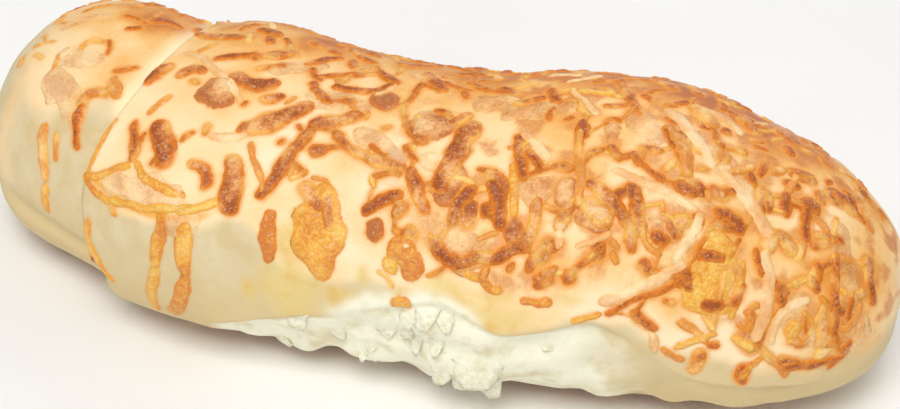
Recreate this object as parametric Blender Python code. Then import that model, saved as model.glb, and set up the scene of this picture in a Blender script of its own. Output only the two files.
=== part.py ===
"""Cheese breadstick: a soft baked roll, its dough lapped over at one end, with cheese melted onto the crust.

Lengths are millimetres until a mesh is made. X runs along the roll, -Y is its front and +Z is up.
A place on the crust is `along`, in millimetres from the middle of the roll towards +X, and `around`,
in degrees: 0 on top, 90 on the front, -90 on the back and 180 underneath. A heading of 0 points along
the roll and one of 90 points down its front.
"""

import math
import random

import bmesh
import bpy
import numpy as np
from mathutils import Vector, noise

MM = 0.001
NODE = "cheese_breadstick"

# The bare roll, measured at eight stations from its left end to its right end.
LEFT_END, RIGHT_END = -93.6, 95.0
STATIONS = (-95, -68, -38, -10, 19, 47, 74, 95)
HALF_WIDTHS = (26, 29, 34.5, 31.5, 33, 32.5, 29, 26.5)
HEIGHTS = (40.5, 44.5, 48.5, 49, 50.5, 51.5, 45.5, 40.5)
SIDEWAYS = (10, 4, -2, -2.5, -1.5, 4, 5.5, 6.5)

# What brings the middle of its box over the origin.
CENTRING_X, CENTRING_Y = -0.8, 0.2

# The rounded ends: how deep each dome is, and how square its shoulder.
LEFT_DOME, LEFT_SHOULDER = 24.0, 2.5
RIGHT_DOME, RIGHT_SHOULDER = 56.0, 3.0

# The cross-section: where it is widest, how square it is above and below that, and how far its
# underside is pressed flat on the baking tray.
WIDEST_AT = 0.44
UPPER_SQUARENESS = 2.15
LOWER_SQUARENESS = 2.5
BASE_PRESS = 1.05

# The lap: the outer layer of dough ends in a lip, and the inner roll stands out of it to the left.
# It is deepest low on the front, where the lip also juts out furthest, and shallowest on the back.
LAP_AT = -49.0
LAP_JUT, LAP_JUT_REACH, LAP_JUTS_AT, LAP_JUT_SPREAD = 7.0, 18.0, 68.0, 42.0
LAP_DEEPEST_AT, LAP_MEAN, LAP_VARIES = 80.0, 0.66, 0.34
LIP_RISE, LIP_FADE = 1.4, 7.0
GROOVE_DEPTH, GROOVE_HALF_WIDTH = 2.1, 1.8
STEP_DEPTH, STEP_FADE = 1.5, 11.0

# The inner roll's own seam, a crease that runs from its end face to the lap.
SEAM_FROM, SEAM_TO, SEAM_FADE = -82.0, -48.0, 5.0
SEAM_AROUND, SEAM_DROP = 93.0, 0.28
SEAM_DEPTH, SEAM_HALF_WIDTH = 1.5, 5.0

# Slow swells and dips of the risen dough: along, around, height, reach along, reach around.
SWELLS = (
    (-68, -25, 1.2, 9, 40),
    (-51, -30, -2.0, 8, 40),
    (-36, -22, 0.9, 8, 30),
    (-17, 118, 1.1, 11, 22),
    (4, 112, -0.7, 9, 25),
    (5, -25, -0.6, 16, 30),
    (24, -25, 0.9, 9, 30),
    (68, 108, 1.4, 9, 20),
)
LUMP_HEIGHT, LUMP_SIZE = 0.55, 17.0

# Half the distance over which a slope of the crust is taken, in millimetres and in degrees.
SLOPE_STEP = 0.5

# Where the roll was pulled from its neighbour: from a top line down to TEAR_FOOT the crust is gone and
# the crumb shows, drawn out in crags that are coarsest near TEAR_ROUGHEST and calm towards the ends.
# Above it the cheese ends in a thick edge.
TEAR_STATIONS = (-30, -18, -4, 10, 18, 29, 47, 60, 76, 90)
TEAR_TOPS = (112, 101, 93, 83, 79, 88, 82, 95, 99, 104)
TEAR_FOOT, TEAR_FADE = 136.0, 5.0
TEAR_FROM, TEAR_TO, TEAR_END_FADE = -27.0, 84.0, 6.0
TEAR_HOLLOW = 0.2
CRAG_HEIGHT, CRAG_SIZE, TEAR_ROUGHEST, TEAR_ROUGH_REACH = 2.2, 7.0, 10.0, 34.0
CALM_SHARE = 0.4
LEDGE_RISE, LEDGE_FADE = 1.2, 9.0

# The body's mesh: rings from end to end, those that draw the lap, and how many degrees round the domes
# the outermost ones stand, where 90 is the very tip. A ring is closer set where the crumb is torn.
LEFT_RINGS, MIDDLE_RINGS, RIGHT_RINGS = 7, 31, 13
LAP_RINGS = (-5.0, -2.0, -0.4, 0.6, 3.2)
LEFT_OUTERMOST, RIGHT_OUTERMOST = 78.0, 84.0
RING_RUNS = ((-180, -90, 7), (-90, 78, 17), (78, 138, 11), (138, 180, 3))

# Strands of melted cheese: along, around, heading, length, bend, width.
STRANDS = (
    # on the inner roll, left of the lap
    (-66, -28, -78, 8, 0, 1.5),
    (-58, -20, -35, 8, 90, 1.7),
    (-60, 29, 137, 9, -145, 1.8),
    (-59, 45, 65, 9, -30, 1.6),
    (-67, 61, 80, 11, -10, 1.4),
    # from the lap to the first third
    (-48, 13, -75, 8, 30, 2.8),
    (-43, -11, 0, 12, -55, 2.8),
    (-42, 8, -32, 7, 135, 2.7),
    (-43, 41, 60, 9, 30, 1.6),
    (-38, 39, 52, 11, 0, 3.6),
    (-37, 6, 30, 22, 36, 2.1),
    (-36, 54, 15, 14, -39, 1.5),
    (-35, 85, 108, 23, 9, 1.8),
    (-35, -2, -24, 11, 12, 1.9),
    (-34, -20, 0, 6, 0, 3.0),
    (-31, 88, 105, 27, 60, 2.2),
    (-29, 8, -10, 11, -80, 3.4),
    (-28, -9, -45, 7, 0, 2.4),
    (-28, 58, -26, 10, -15, 1.6),
    (-29, 45, 43, 8, 155, 2.2),
    (-28, 31, -10, 8, -40, 2.3),
    (-24, 48, 77, 11, 15, 3.3),
    (-24, 12, -34, 5, 0, 2.5),
    (-21, 21, -39, 14, -48, 3.2),
    (-20, -12, -49, 9, 30, 2.0),
    (-21, 40, 57, 11, 8, 1.5),
    # the middle
    (-16, 36, 107, 18, 17, 2.1),
    (-16, 6, 40, 9, -45, 1.9),
    (-15, -4, -29, 8, -17, 1.7),
    (-13, -21, 25, 6, 0, 2.1),
    (-16, 66, 87, 9, 4, 2.1),
    (-10, 1, -10, 10, -35, 1.9),
    (-10, 17, -28, 10, -50, 2.4),
    (-6, -9, 31, 7, 0, 2.3),
    (-1, 30, 13, 16, -46, 2.2),
    (1, -2, -82, 10, -31, 1.5),
    (3, -11, 48, 10, 0, 2.5),
    (4, 45, -41, 9, 9, 2.8),
    (5, 16, 36, 8, -25, 2.3),
    (10, 38, 54, 11, 0, 2.8),
    (12, 7, -56, 5, 0, 2.1),
    (16, 15, 93, 14, 3, 2.6),
    (18, 41, 102, 9, -68, 2.3),
    (19, 61, 12, 12, -155, 2.3),
    (24, 31, 52, 8, 85, 2.3),
    (25, 41, 66, 8, 0, 2.6),
    (26, 21, 68, 12, -15, 2.3),
    (27, -7, 58, 7, 0, 2.0),
    (28, 16, 44, 10, 17, 2.1),
    (28, 57, 147, 7, -12, 2.6),
    (32, 46, 91, 10, 45, 2.3),
    (34, 57, 109, 7, 0, 1.9),
    # the right third
    (32, -4, 58, 11, -10, 1.7),
    (36, 14, 76, 13, -15, 2.1),
    (38, 33, 80, 10, 0, 1.9),
    (40, -9, 59, 10, -13, 1.9),
    (44, 36, 38, 13, 26, 2.0),
    (49, 37, 63, 10, 40, 2.0),
    (51, 28, 13, 18, 10, 2.0),
    (52, 10, 54, 12, 4, 2.6),
    (53, 64, -37, 18, -29, 2.6),
    (54, 3, 45, 18, 34, 2.8),
    (57, -12, 13, 12, 80, 2.3),
    (59, 43, 105, 11, 36, 2.1),
    (65, 30, 22, 8, 130, 2.6),
    (68, 22, 40, 18, 57, 2.9),
    (74, 57, 85, 17, 50, 2.6),
    (74, -3, -25, 5, 0, 2.4),
    (74, 12, 93, 7, 0, 2.3),
    (75, 32, 39, 6, 0, 2.6),
    (77, 64, -60, 12, 73, 2.1),
    (83, 89, -3, 13, -21, 1.7),
    (85, 50, 75, 16, 15, 2.0),
    (90, 34, 53, 10, 43, 2.2),
)
STRAND_HEIGHT, STRAND_LEAST_HEIGHT = 0.24, 0.35

# A strand's section, out from its middle as shares of its half-width and up as shares of its height,
# and how its rings are spaced: the longest stretch and sharpest turn between two, and its blunt ends.
STRAND_SECTION = ((1.12, -0.5), (0.62, 1.0), (-0.62, 1.0), (-1.12, -0.5), (0.0, -2.4))
STRAND_STRETCH, STRAND_TURN = 5.0, 34.0
STRAND_BLUNT, STRAND_MOST_BLUNT, STRAND_END = 0.32, 0.2, 0.55

# The cheese runs on over the back, where strands stand in tiers, spread evenly and turned at random.
BACK_SEED = 7
BACK_STRANDS, BACK_TIERS = 22, 3
BACK_ALONG, BACK_AROUND = (-70.0, 82.0), (-92.0, -30.0)
BACK_LENGTHS, BACK_BENDS, BACK_WIDTHS = (7.0, 14.0), (-70.0, 70.0), (1.9, 2.9)

# Pools where the cheese ran together: along, around, length, width, height, turned.
POOLS = (
    (-34, 15, 8.0, 6.5, 0.6, 40),
    (-8, 60, 16.5, 10.5, 0.6, 75),
    (-4, 3, 6.5, 5.0, 1.1, 30),
    (4, 55, 4.4, 3.6, 0.9, 80),
    (8, 13, 7.4, 6.6, 1.2, 0),
    (11, 63, 8.0, 5.0, 0.6, 50),
    (15, 32, 9.5, 6.0, 1.1, 85),
    (40, 50, 6.0, 4.5, 0.9, 60),
    (64, 54, 15.5, 9.5, 0.5, 82),
)

# A pool's rim, sunk in the crust and wavy; its shoulder, as a share of the rim and of the height; and
# how far down its root goes.
POOL_POINTS, POOL_WAVES, POOL_WAVE = 10, 3, 0.12
POOL_SUNK, POOL_ROOT = 0.5, 2.5
POOL_SHOULDER, POOL_SHOULDER_RISE = 0.72, 0.85

# Flakes of crumb drawn out at the tear: along, around, heading, length, width, how far the tip lifts.
FLAKES = (
    (12, 91, 95, 9, 3, 0.5),
    (17, 93, 85, 8, 4, 0.4),
    (18, 112, 110, 5, 4, 2.0),
    (27, 113, 75, 7, 6, 2.8),
)
FLAKE_SUNK = 1.6

# A flake at its root, middle and tip: how far along it, and its share of the width and its thickness.
FLAKE_STATIONS = ((0.0, 1.0, 2.4), (0.55, 0.85, 1.6), (1.0, 0.35, 0.8))

CRUST_COLOUR = (0.84, 0.50, 0.20, 1.0)
CRUST_ROUGHNESS = 0.55
SHARP_FROM = 50.0


def smooth_between(stations, values, at):
    """A smooth curve through values at stations, read at `at`."""
    x, y = np.asarray(stations, float), np.asarray(values, float)
    slope = np.gradient(y, x)
    i = np.clip(np.searchsorted(x, at) - 1, 0, len(x) - 2)
    span = x[i + 1] - x[i]
    t = np.clip((at - x[i]) / span, 0, 1)
    rise = y[i + 1] - y[i]
    return (
        y[i]
        + rise * t * t * (3 - 2 * t)
        + span * t * (1 - t) * (slope[i] * (1 - t) - slope[i + 1] * t)
    )


def fade(value, start, reach):
    """0 well below start, 1 well above it, rising over about `reach`."""
    t = np.clip((value - start) / reach + 0.5, 0, 1)
    return t * t * (3 - 2 * t)


def dome(x):
    """How much of its full section the roll has at x: 1 in the middle, 0 at both ends."""
    left = np.clip((LEFT_END + LEFT_DOME - x) / LEFT_DOME, 0, 1)
    right = np.clip((x - RIGHT_END + RIGHT_DOME) / RIGHT_DOME, 0, 1)
    return (1 - left**LEFT_SHOULDER) ** (1 / LEFT_SHOULDER) * (
        1 - right**RIGHT_SHOULDER
    ) ** (1 / RIGHT_SHOULDER)


def bare_roll(along, around):
    """Points of the roll before any relief. Its rings jut out so that one of them is the edge of the lap."""
    theta = np.radians(around)
    jut = LAP_JUT * np.exp(-((turned(around, LAP_JUTS_AT) / LAP_JUT_SPREAD) ** 2))
    x = along - jut * np.exp(-(((along - LAP_AT) / LAP_JUT_REACH) ** 2))
    full = dome(x)
    width = smooth_between(STATIONS, HALF_WIDTHS, x) * full
    height = smooth_between(STATIONS, HEIGHTS, x)
    side, up = -np.sin(theta), np.cos(theta)
    power = np.where(up > 0, 2 / UPPER_SQUARENESS, 2 / LOWER_SQUARENESS)
    y = width * np.sign(side) * np.abs(side) ** power
    reach = np.where(up > 0, 1 - WIDEST_AT, -WIDEST_AT * BASE_PRESS)
    z = height * (WIDEST_AT + full * reach * np.abs(up) ** power)
    y = y + smooth_between(STATIONS, SIDEWAYS, x)
    return np.stack(np.broadcast_arrays(x, y, z), axis=-1)


def noise_over(points, size):
    """Smooth noise between about -1 and 1 at each point, with features about `size` across."""
    flat = [noise.noise(Vector(point)) for point in points.reshape(-1, 3) / size]
    return np.array(flat).reshape(points.shape[:-1])


def turned(degrees, middle):
    """Degrees around from middle, between -180 and 180."""
    return (degrees - middle + 180) % 360 - 180


def lap_relief(along, around):
    """The lip of the outer layer, the groove beside it and the step down to the inner roll."""
    depth = LAP_MEAN + LAP_VARIES * np.cos(np.radians(turned(around, LAP_DEEPEST_AT)))
    past = along - LAP_AT
    lip = LIP_RISE * np.exp(-np.abs(past) / LIP_FADE) * (past >= 0)
    step = -STEP_DEPTH * np.exp(-np.abs(past) / STEP_FADE) * (past < 0)
    groove = -GROOVE_DEPTH * np.exp(-(((past + GROOVE_HALF_WIDTH) / GROOVE_HALF_WIDTH) ** 2))
    return depth * (lip + step + groove * (past < 0))


def seam_relief(along, around):
    """The crease low on the front of the inner roll."""
    ends = fade(along, SEAM_FROM, SEAM_FADE) * fade(-along, -SEAM_TO, SEAM_FADE)
    middle = SEAM_AROUND + SEAM_DROP * (along - SEAM_FROM)
    across = turned(around, middle) / SEAM_HALF_WIDTH
    return -SEAM_DEPTH * ends * np.exp(-(across**2))


def tear_share(along, around):
    """How much of the torn crumb shows at a place, from 0 to 1."""
    top = smooth_between(TEAR_STATIONS, TEAR_TOPS, along)
    ends = fade(along, TEAR_FROM, TEAR_END_FADE) * fade(-along, -TEAR_TO, TEAR_END_FADE)
    front = np.abs(turned(around, 90)) < 90
    return ends * front * fade(around, top, TEAR_FADE) * fade(-around, -TEAR_FOOT, 2 * TEAR_FADE)


def tear_relief(along, around, points):
    """The hollow and the crags of the torn crumb, under the thick edge of the cheese."""
    share = tear_share(along, around)
    rough = CALM_SHARE + (1 - CALM_SHARE) * np.exp(
        -(((along - TEAR_ROUGHEST) / TEAR_ROUGH_REACH) ** 2)
    )
    crags = noise_over(points, CRAG_SIZE) * CRAG_HEIGHT * rough - TEAR_HOLLOW
    over_edge = smooth_between(TEAR_STATIONS, TEAR_TOPS, along) - around
    ends = fade(along, TEAR_FROM, TEAR_END_FADE) * fade(-along, -TEAR_TO, TEAR_END_FADE)
    ledge = LEDGE_RISE * ends * np.exp(-np.clip(over_edge, 0, None) / LEDGE_FADE) * (around > 0)
    return share * crags + (1 - share) * ledge * fade(over_edge, 0, TEAR_FADE)


def crust(along, around):
    """Points of the crust with all its relief, pressed flat where it stood on the tray."""
    along, around = np.broadcast_arrays(np.asarray(along, float), np.asarray(around, float))
    points = bare_roll(along, around)
    relief = lap_relief(along, around) + seam_relief(along, around)
    relief = relief + tear_relief(along, around, points)
    relief = relief + LUMP_HEIGHT * noise_over(points, LUMP_SIZE)
    for middle_along, middle_around, height, reach_along, reach_around in SWELLS:
        away = ((along - middle_along) / reach_along) ** 2
        away = away + (turned(around, middle_around) / reach_around) ** 2
        relief = relief + height * np.exp(-away)
    points = points + relief[..., None] * bare_normals(along, around)
    points = points + np.array((CENTRING_X, CENTRING_Y, 0.0))
    points[..., 2] = np.clip(points[..., 2], 0, None)
    return points


def slopes(along, around):
    """How the bare roll runs at a place, for each unit of `along` and for each degree around."""
    along = np.clip(along, LEFT_END + 2 * SLOPE_STEP, RIGHT_END - 2 * SLOPE_STEP)
    across = bare_roll(along + SLOPE_STEP, around) - bare_roll(along - SLOPE_STEP, around)
    down = bare_roll(along, around + SLOPE_STEP) - bare_roll(along, around - SLOPE_STEP)
    return across / (2 * SLOPE_STEP), down / (2 * SLOPE_STEP)


def bare_normals(along, around):
    """Outward normals of the bare roll, kept clear of the very tips of its ends."""
    across, down = slopes(along, around)
    normal = np.cross(down, across)
    return normal / np.linalg.norm(normal, axis=-1, keepdims=True)


def ring_stations():
    """Where the body's rings stand along the roll: closer round the ends and at the lap."""
    left = np.sin(np.radians(np.linspace(LEFT_OUTERMOST, 0, LEFT_RINGS, endpoint=False)))
    left = LEFT_END + LEFT_DOME * (1 - left ** (2 / LEFT_SHOULDER))
    middle = np.linspace(
        LEFT_END + LEFT_DOME, RIGHT_END - RIGHT_DOME, MIDDLE_RINGS, endpoint=False
    )
    right = np.sin(np.radians(np.linspace(0, RIGHT_OUTERMOST, RIGHT_RINGS)))
    right = RIGHT_END - RIGHT_DOME * (1 - right ** (2 / RIGHT_SHOULDER))
    stations = np.concatenate((left, middle, right))
    lap = LAP_AT + np.array(LAP_RINGS)
    clear = (stations < lap[0] - 1) | (stations > lap[-1] + 1)
    return np.sort(np.concatenate((stations[clear], lap)))


def object_from(name, points, faces):
    """A mesh object from points in millimetres."""
    mesh = bpy.data.meshes.new(name)
    mesh.from_pydata([tuple(point * MM) for point in points], [], faces)
    mesh.validate()
    made = bpy.data.objects.new(name, mesh)
    return made


def tube_faces(rings, sides):
    """Quads between rings of points, each ring wound the same way about the tube."""
    return [
        (
            ring * sides + side,
            ring * sides + (side + 1) % sides,
            (ring + 1) * sides + (side + 1) % sides,
            (ring + 1) * sides + side,
        )
        for ring in range(rings - 1)
        for side in range(sides)
    ]


def body_object():
    """The dough: rings of crust closed by a point at each end."""
    stations = ring_stations()
    around = np.concatenate([np.linspace(*run, endpoint=False) for run in RING_RUNS])
    rings = crust(stations[:, None], around[None, :])
    tips = [crust(end, around).mean(axis=0) for end in (LEFT_END, RIGHT_END)]
    points = np.concatenate((rings.reshape(-1, 3), tips))
    sides = len(around)
    faces = tube_faces(len(stations), sides)
    left_tip, right_tip = len(points) - 2, len(points) - 1
    last = (len(stations) - 1) * sides
    for side in range(sides):
        beside = (side + 1) % sides
        faces.append((beside, side, left_tip))
        faces.append((last + side, last + beside, right_tip))
    return object_from(NODE, points, faces)


def spread(along, around):
    """Millimetres of crust for each unit of `along` and for each degree around, at a place."""
    across, down = slopes(along, around)
    return np.linalg.norm(across), np.linalg.norm(down)


def arc(along, around, heading, length, bend, shares):
    """Places on an arc over the crust, at shares of its length from -0.5 to 0.5, that turns by `bend`."""
    start, turn = math.radians(heading), math.radians(bend) or 1e-6
    radius = length / turn
    u = radius * (np.sin(start + turn * shares) - math.sin(start))
    v = radius * (math.cos(start) - np.cos(start + turn * shares))
    per_along, per_degree = spread(along, around)
    return along + u / per_along, around + v / per_degree


def frames_on(along, around):
    """Points of the crust on a path, with the directions up from it and to the side of the path."""
    points = crust(along, around)
    up = bare_normals(along, around)
    side = np.cross(up, np.gradient(points, axis=0))
    side = side / np.linalg.norm(side, axis=-1, keepdims=True)
    return points, up, side


def strand_object(index, along, around, heading, length, bend, width):
    """A strand of cheese half sunk into the crust, rounded down at its ends."""
    pieces = math.ceil(max(length / STRAND_STRETCH, abs(bend) / STRAND_TURN))
    blunt = 0.5 - min(STRAND_MOST_BLUNT, STRAND_BLUNT * width / length)
    shares = np.concatenate(([-0.5], np.linspace(-blunt, blunt, pieces + 1), [0.5]))
    points, up, side = frames_on(*arc(along, around, heading, length, bend, shares))
    height = STRAND_LEAST_HEIGHT + STRAND_HEIGHT * width
    fullness = np.ones(len(shares))
    fullness[[0, -1]] = STRAND_END
    rings = [
        points
        + side * (out * width / 2 * fullness)[:, None]
        + up * (high * height * fullness)[:, None]
        for out, high in STRAND_SECTION
    ]
    sides = len(STRAND_SECTION)
    corners = np.stack(rings, axis=1).reshape(-1, 3)
    faces = tube_faces(len(shares), sides)
    faces.append(tuple(reversed(range(sides))))
    faces.append(tuple(range(len(corners) - sides, len(corners))))
    return object_from(f"strand_{index}", corners, faces)


def pool_object(index, along, around, length, width, height, turn):
    """A low mound of cheese that ran together: a rim sunk in the crust, a shoulder and a crown."""
    angle = np.arange(POOL_POINTS) * 2 * math.pi / POOL_POINTS
    wave = 1 + POOL_WAVE * np.sin(POOL_WAVES * angle + index)
    ahead, aside = length / 2 * np.cos(angle) * wave, width / 2 * np.sin(angle) * wave
    way = math.radians(turn)
    per_along, per_degree = spread(along, around)
    u = (ahead * math.cos(way) - aside * math.sin(way)) / per_along
    v = (ahead * math.sin(way) + aside * math.cos(way)) / per_degree
    rows = ((1.0, -POOL_SUNK), (POOL_SHOULDER, height * POOL_SHOULDER_RISE))
    rings = [
        crust(along + u * share, around + v * share)
        + bare_normals(along + u * share, around + v * share) * lift
        for share, lift in rows
    ]
    middle, up = crust(along, around), bare_normals(along, around)
    corners = np.concatenate((*rings, [middle + up * height, middle - up * POOL_ROOT]))
    crown, root = len(corners) - 2, len(corners) - 1
    faces = tube_faces(2, POOL_POINTS)
    for side in range(POOL_POINTS):
        beside = (side + 1) % POOL_POINTS
        faces.append((beside, side, root))
        faces.append((POOL_POINTS + side, POOL_POINTS + beside, crown))
    return object_from(f"pool_{index}", corners, faces)


def flake_object(index, along, around, heading, length, width, lift):
    """A flake of drawn crumb: rooted in the tear, thinning and lifting away towards its tip."""
    shares, widths, thicknesses = (np.array(column) for column in zip(*FLAKE_STATIONS))
    points, up, side = frames_on(*arc(along, around, heading, length, 0, shares - 0.5))
    rise = (lift * shares**2 - FLAKE_SUNK * (1 - shares))[:, None]
    out = side * (widths * width / 2)[:, None]
    thick = up * thicknesses[:, None]
    floor = points + up * rise
    corners = np.stack((floor + out, floor + out + thick, floor - out + thick, floor - out), axis=1)
    faces = tube_faces(len(FLAKE_STATIONS), 4)
    faces.append((3, 2, 1, 0))
    faces.append(tuple(len(FLAKE_STATIONS) * 4 - back for back in (4, 3, 2, 1)))
    return object_from(f"flake_{index}", corners.reshape(-1, 3), faces)


def back_strands():
    """Rows like those of STRANDS for the back: one for each even share of its length, tier by tier."""
    draw = random.Random(BACK_SEED)
    rows = []
    for index in range(BACK_STRANDS):
        share = (index + 0.5) / BACK_STRANDS
        along = BACK_ALONG[0] + (BACK_ALONG[1] - BACK_ALONG[0]) * share
        tier = (index % BACK_TIERS + draw.uniform(0.25, 0.75)) / BACK_TIERS
        around = BACK_AROUND[0] + (BACK_AROUND[1] - BACK_AROUND[0]) * tier
        heading = draw.uniform(0, 180)
        length, bend, width = (draw.uniform(*reach) for reach in (BACK_LENGTHS, BACK_BENDS, BACK_WIDTHS))
        rows.append((along, around, heading, length, bend, width))
    return rows


def toppings():
    """Every pool, strand and flake, the largest first."""
    made = [pool_object(index, *row) for index, row in enumerate(POOLS)]
    rows = sorted((*STRANDS, *back_strands()), key=lambda row: -row[3] * row[5])
    made += [strand_object(index, *row) for index, row in enumerate(rows)]
    made += [flake_object(index, *row) for index, row in enumerate(FLAKES)]
    return made


def face_outwards(thing):
    """Turn all faces of a closed mesh to face out."""
    work = bmesh.new()
    work.from_mesh(thing.data)
    bmesh.ops.recalc_face_normals(work, faces=work.faces)
    work.to_mesh(thing.data)
    work.free()


def crust_material():
    """The baked crust and its cheese: warm, matt and lightly oiled."""
    material = bpy.data.materials.new("baked_cheese_crust")
    material.use_nodes = True
    principled = material.node_tree.nodes["Principled BSDF"]
    principled.inputs["Base Color"].default_value = CRUST_COLOUR
    principled.inputs["Roughness"].default_value = CRUST_ROUGHNESS
    principled.inputs["Metallic"].default_value = 0.0
    return material


def build():
    """The breadstick: its body with every topping joined to it."""
    for old in list(bpy.data.objects):
        bpy.data.objects.remove(old, do_unlink=True)
    body = body_object()
    bpy.context.scene.collection.objects.link(body)
    face_outwards(body)

    group = bpy.data.collections.new("toppings")
    bpy.context.scene.collection.children.link(group)
    for topping in toppings():
        group.objects.link(topping)
        face_outwards(topping)

    join = body.modifiers.new("toppings_joined", "BOOLEAN")
    join.operation = "UNION"
    join.operand_type = "COLLECTION"
    join.collection = group
    join.solver = "EXACT"
    joined = body.evaluated_get(bpy.context.evaluated_depsgraph_get())
    body.data = bpy.data.meshes.new_from_object(joined)
    body.data.name = NODE
    body.modifiers.clear()
    for topping in list(group.objects):
        bpy.data.objects.remove(topping, do_unlink=True)
    bpy.data.collections.remove(group)

    body.data.materials.clear()
    body.data.materials.append(crust_material())
    body.data.shade_smooth()
    body.data.set_sharp_from_angle(angle=math.radians(SHARP_FROM))


build()
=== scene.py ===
"""Cheese breadstick: a soft baked roll under melted and browned cheese, torn low on its front.

Lengths are millimetres until a mesh is made. X runs along the roll, -Y is its front and +Z is up.
A place on the crust is `along`, in millimetres from the middle of the roll towards +X, and
`around`, in degrees: 0 on top, 90 on the front, -90 on the back and 180 underneath. A heading of 0
points along the roll and one of 90 points down its front.
"""

import logging
import math
import random
from dataclasses import dataclass
from enum import Enum
from typing import ClassVar

import bpy
import numpy as np
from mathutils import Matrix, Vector, noise


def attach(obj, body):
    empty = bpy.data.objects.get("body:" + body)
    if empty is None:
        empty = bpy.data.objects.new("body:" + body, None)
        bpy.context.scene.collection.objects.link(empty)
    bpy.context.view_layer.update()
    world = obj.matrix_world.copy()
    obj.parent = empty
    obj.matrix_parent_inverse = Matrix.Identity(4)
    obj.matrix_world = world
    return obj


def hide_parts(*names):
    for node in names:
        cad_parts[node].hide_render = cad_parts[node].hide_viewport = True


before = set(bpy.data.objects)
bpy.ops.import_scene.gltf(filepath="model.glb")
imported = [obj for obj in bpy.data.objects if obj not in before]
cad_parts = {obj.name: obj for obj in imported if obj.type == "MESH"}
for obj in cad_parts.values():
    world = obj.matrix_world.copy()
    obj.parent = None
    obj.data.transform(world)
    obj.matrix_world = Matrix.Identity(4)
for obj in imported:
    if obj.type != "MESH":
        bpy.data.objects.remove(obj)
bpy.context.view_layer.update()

LOG = logging.getLogger("cheese_breadstick")
MM = 0.001
NODE = "cheese_breadstick"
BODY = "root"
STRAIGHT = 1e-6  # radians: the bend of a straight topping, small enough not to show

Array = np.ndarray
Colour = tuple[float, float, float, float]
Span = tuple[float, float]
Row = tuple[float, ...]
Rows = tuple[Row, ...]
Faces = list[tuple[int, ...]]
Stops = tuple[tuple[float, Colour], ...]
Shares = dict[str, Array]
Object, Material = bpy.types.Object, bpy.types.Material
Tree, Node, Socket = bpy.types.NodeTree, bpy.types.Node, bpy.types.NodeSocket


def shade(red: int, green: int, blue: int) -> Colour:
    """A colour for a shader from the 0 to 255 values that a colour picker shows.

    Args:
        red: Red, 0 to 255.
        green: Green, 0 to 255.
        blue: Blue, 0 to 255.

    Returns:
        The linear colour with an alpha of 1.
    """
    shares = (value / 255 for value in (red, green, blue))
    linear = [s / 12.92 if s <= 0.04045 else ((s + 0.055) / 1.055) ** 2.4 for s in shares]
    return (linear[0], linear[1], linear[2], 1.0)


def shades(*values: tuple[int, int, int]) -> tuple[Colour, ...]:
    """Colours for shaders, each from its 0 to 255 values."""
    return tuple(shade(*value) for value in values)


def smooth_between(stations: Row, values: Row, at: Array) -> Array:
    """A smooth curve through values at stations.

    Args:
        stations: Where the values are given, rising.
        values: The value at each station.
        at: Where the curve is read.

    Returns:
        The curve's value at each place of `at`.
    """
    x, y = np.asarray(stations, float), np.asarray(values, float)
    slope = np.gradient(y, x)
    i = np.clip(np.searchsorted(x, at) - 1, 0, len(x) - 2)
    span = x[i + 1] - x[i]
    t = np.clip((at - x[i]) / span, 0, 1)
    rise = y[i + 1] - y[i]
    bent = span * t * (1 - t) * (slope[i] * (1 - t) - slope[i + 1] * t)
    return y[i] + rise * t * t * (3 - 2 * t) + bent


def fade(value: Array, start: float | Array, reach: float) -> Array:
    """0 well below start and 1 well above it, rising smoothly over about `reach`."""
    t = np.clip((value - start) / reach + 0.5, 0, 1)
    return t * t * (3 - 2 * t)


@dataclass(frozen=True)
class Slope:
    """A smooth rise from 0 to `share` over `reach` about `start`, or a fall where `way` is -1."""

    start: float
    reach: float
    way: int = 1
    share: float = 1.0

    def __call__(self, value: Array) -> Array:
        """How high the slope stands at a value."""
        return self.share * fade(self.way * value, self.way * self.start, self.reach)


def turned(degrees: Array, middle: float | Array) -> Array:
    """Degrees around from middle, between -180 and 180."""
    return (degrees - middle + 180) % 360 - 180


def hump(value: Array, middle: float | Array, reach: float) -> Array:
    """A smooth bump of height 1 at the middle, gone at about twice its reach."""
    return np.exp(-(((value - middle) / reach) ** 2))


def layers_over(points: Array, layers: tuple[tuple[float, float, float], ...]) -> Array:
    """Layers of noise over points, added up: the height, size and shift of each, in millimetres."""
    return sum(height * noise_over(points + shift, size) for height, size, shift in layers)


def grid_faces(rows: int, columns: int, first: int, under: bool = False) -> Faces:
    """Faces of a grid of points, row by row.

    Args:
        rows: How many rows it has.
        columns: How many points each row has.
        first: The number of its first point.
        under: Whether it is seen from under, so that its faces turn the other way.

    Returns:
        The faces, as numbers of points.
    """
    made = []
    for row in range(rows - 1):
        for corner in range(first + row * columns, first + (row + 1) * columns - 1):
            face = (corner, corner + 1, corner + columns + 1, corner + columns)
            made.append(face[::-1] if under else face)
    return made


def noise_over(points: Array, size: float) -> Array:
    """Smooth noise over points.

    Args:
        points: Points in millimetres, in the last axis.
        size: How far apart the noise's features are, in millimetres.

    Returns:
        A value between about -1 and 1 for each point.
    """
    flat = [noise.noise(point) for point in (points.reshape(-1, 3) / size).tolist()]
    return np.array(flat).reshape(points.shape[:-1])


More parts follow.
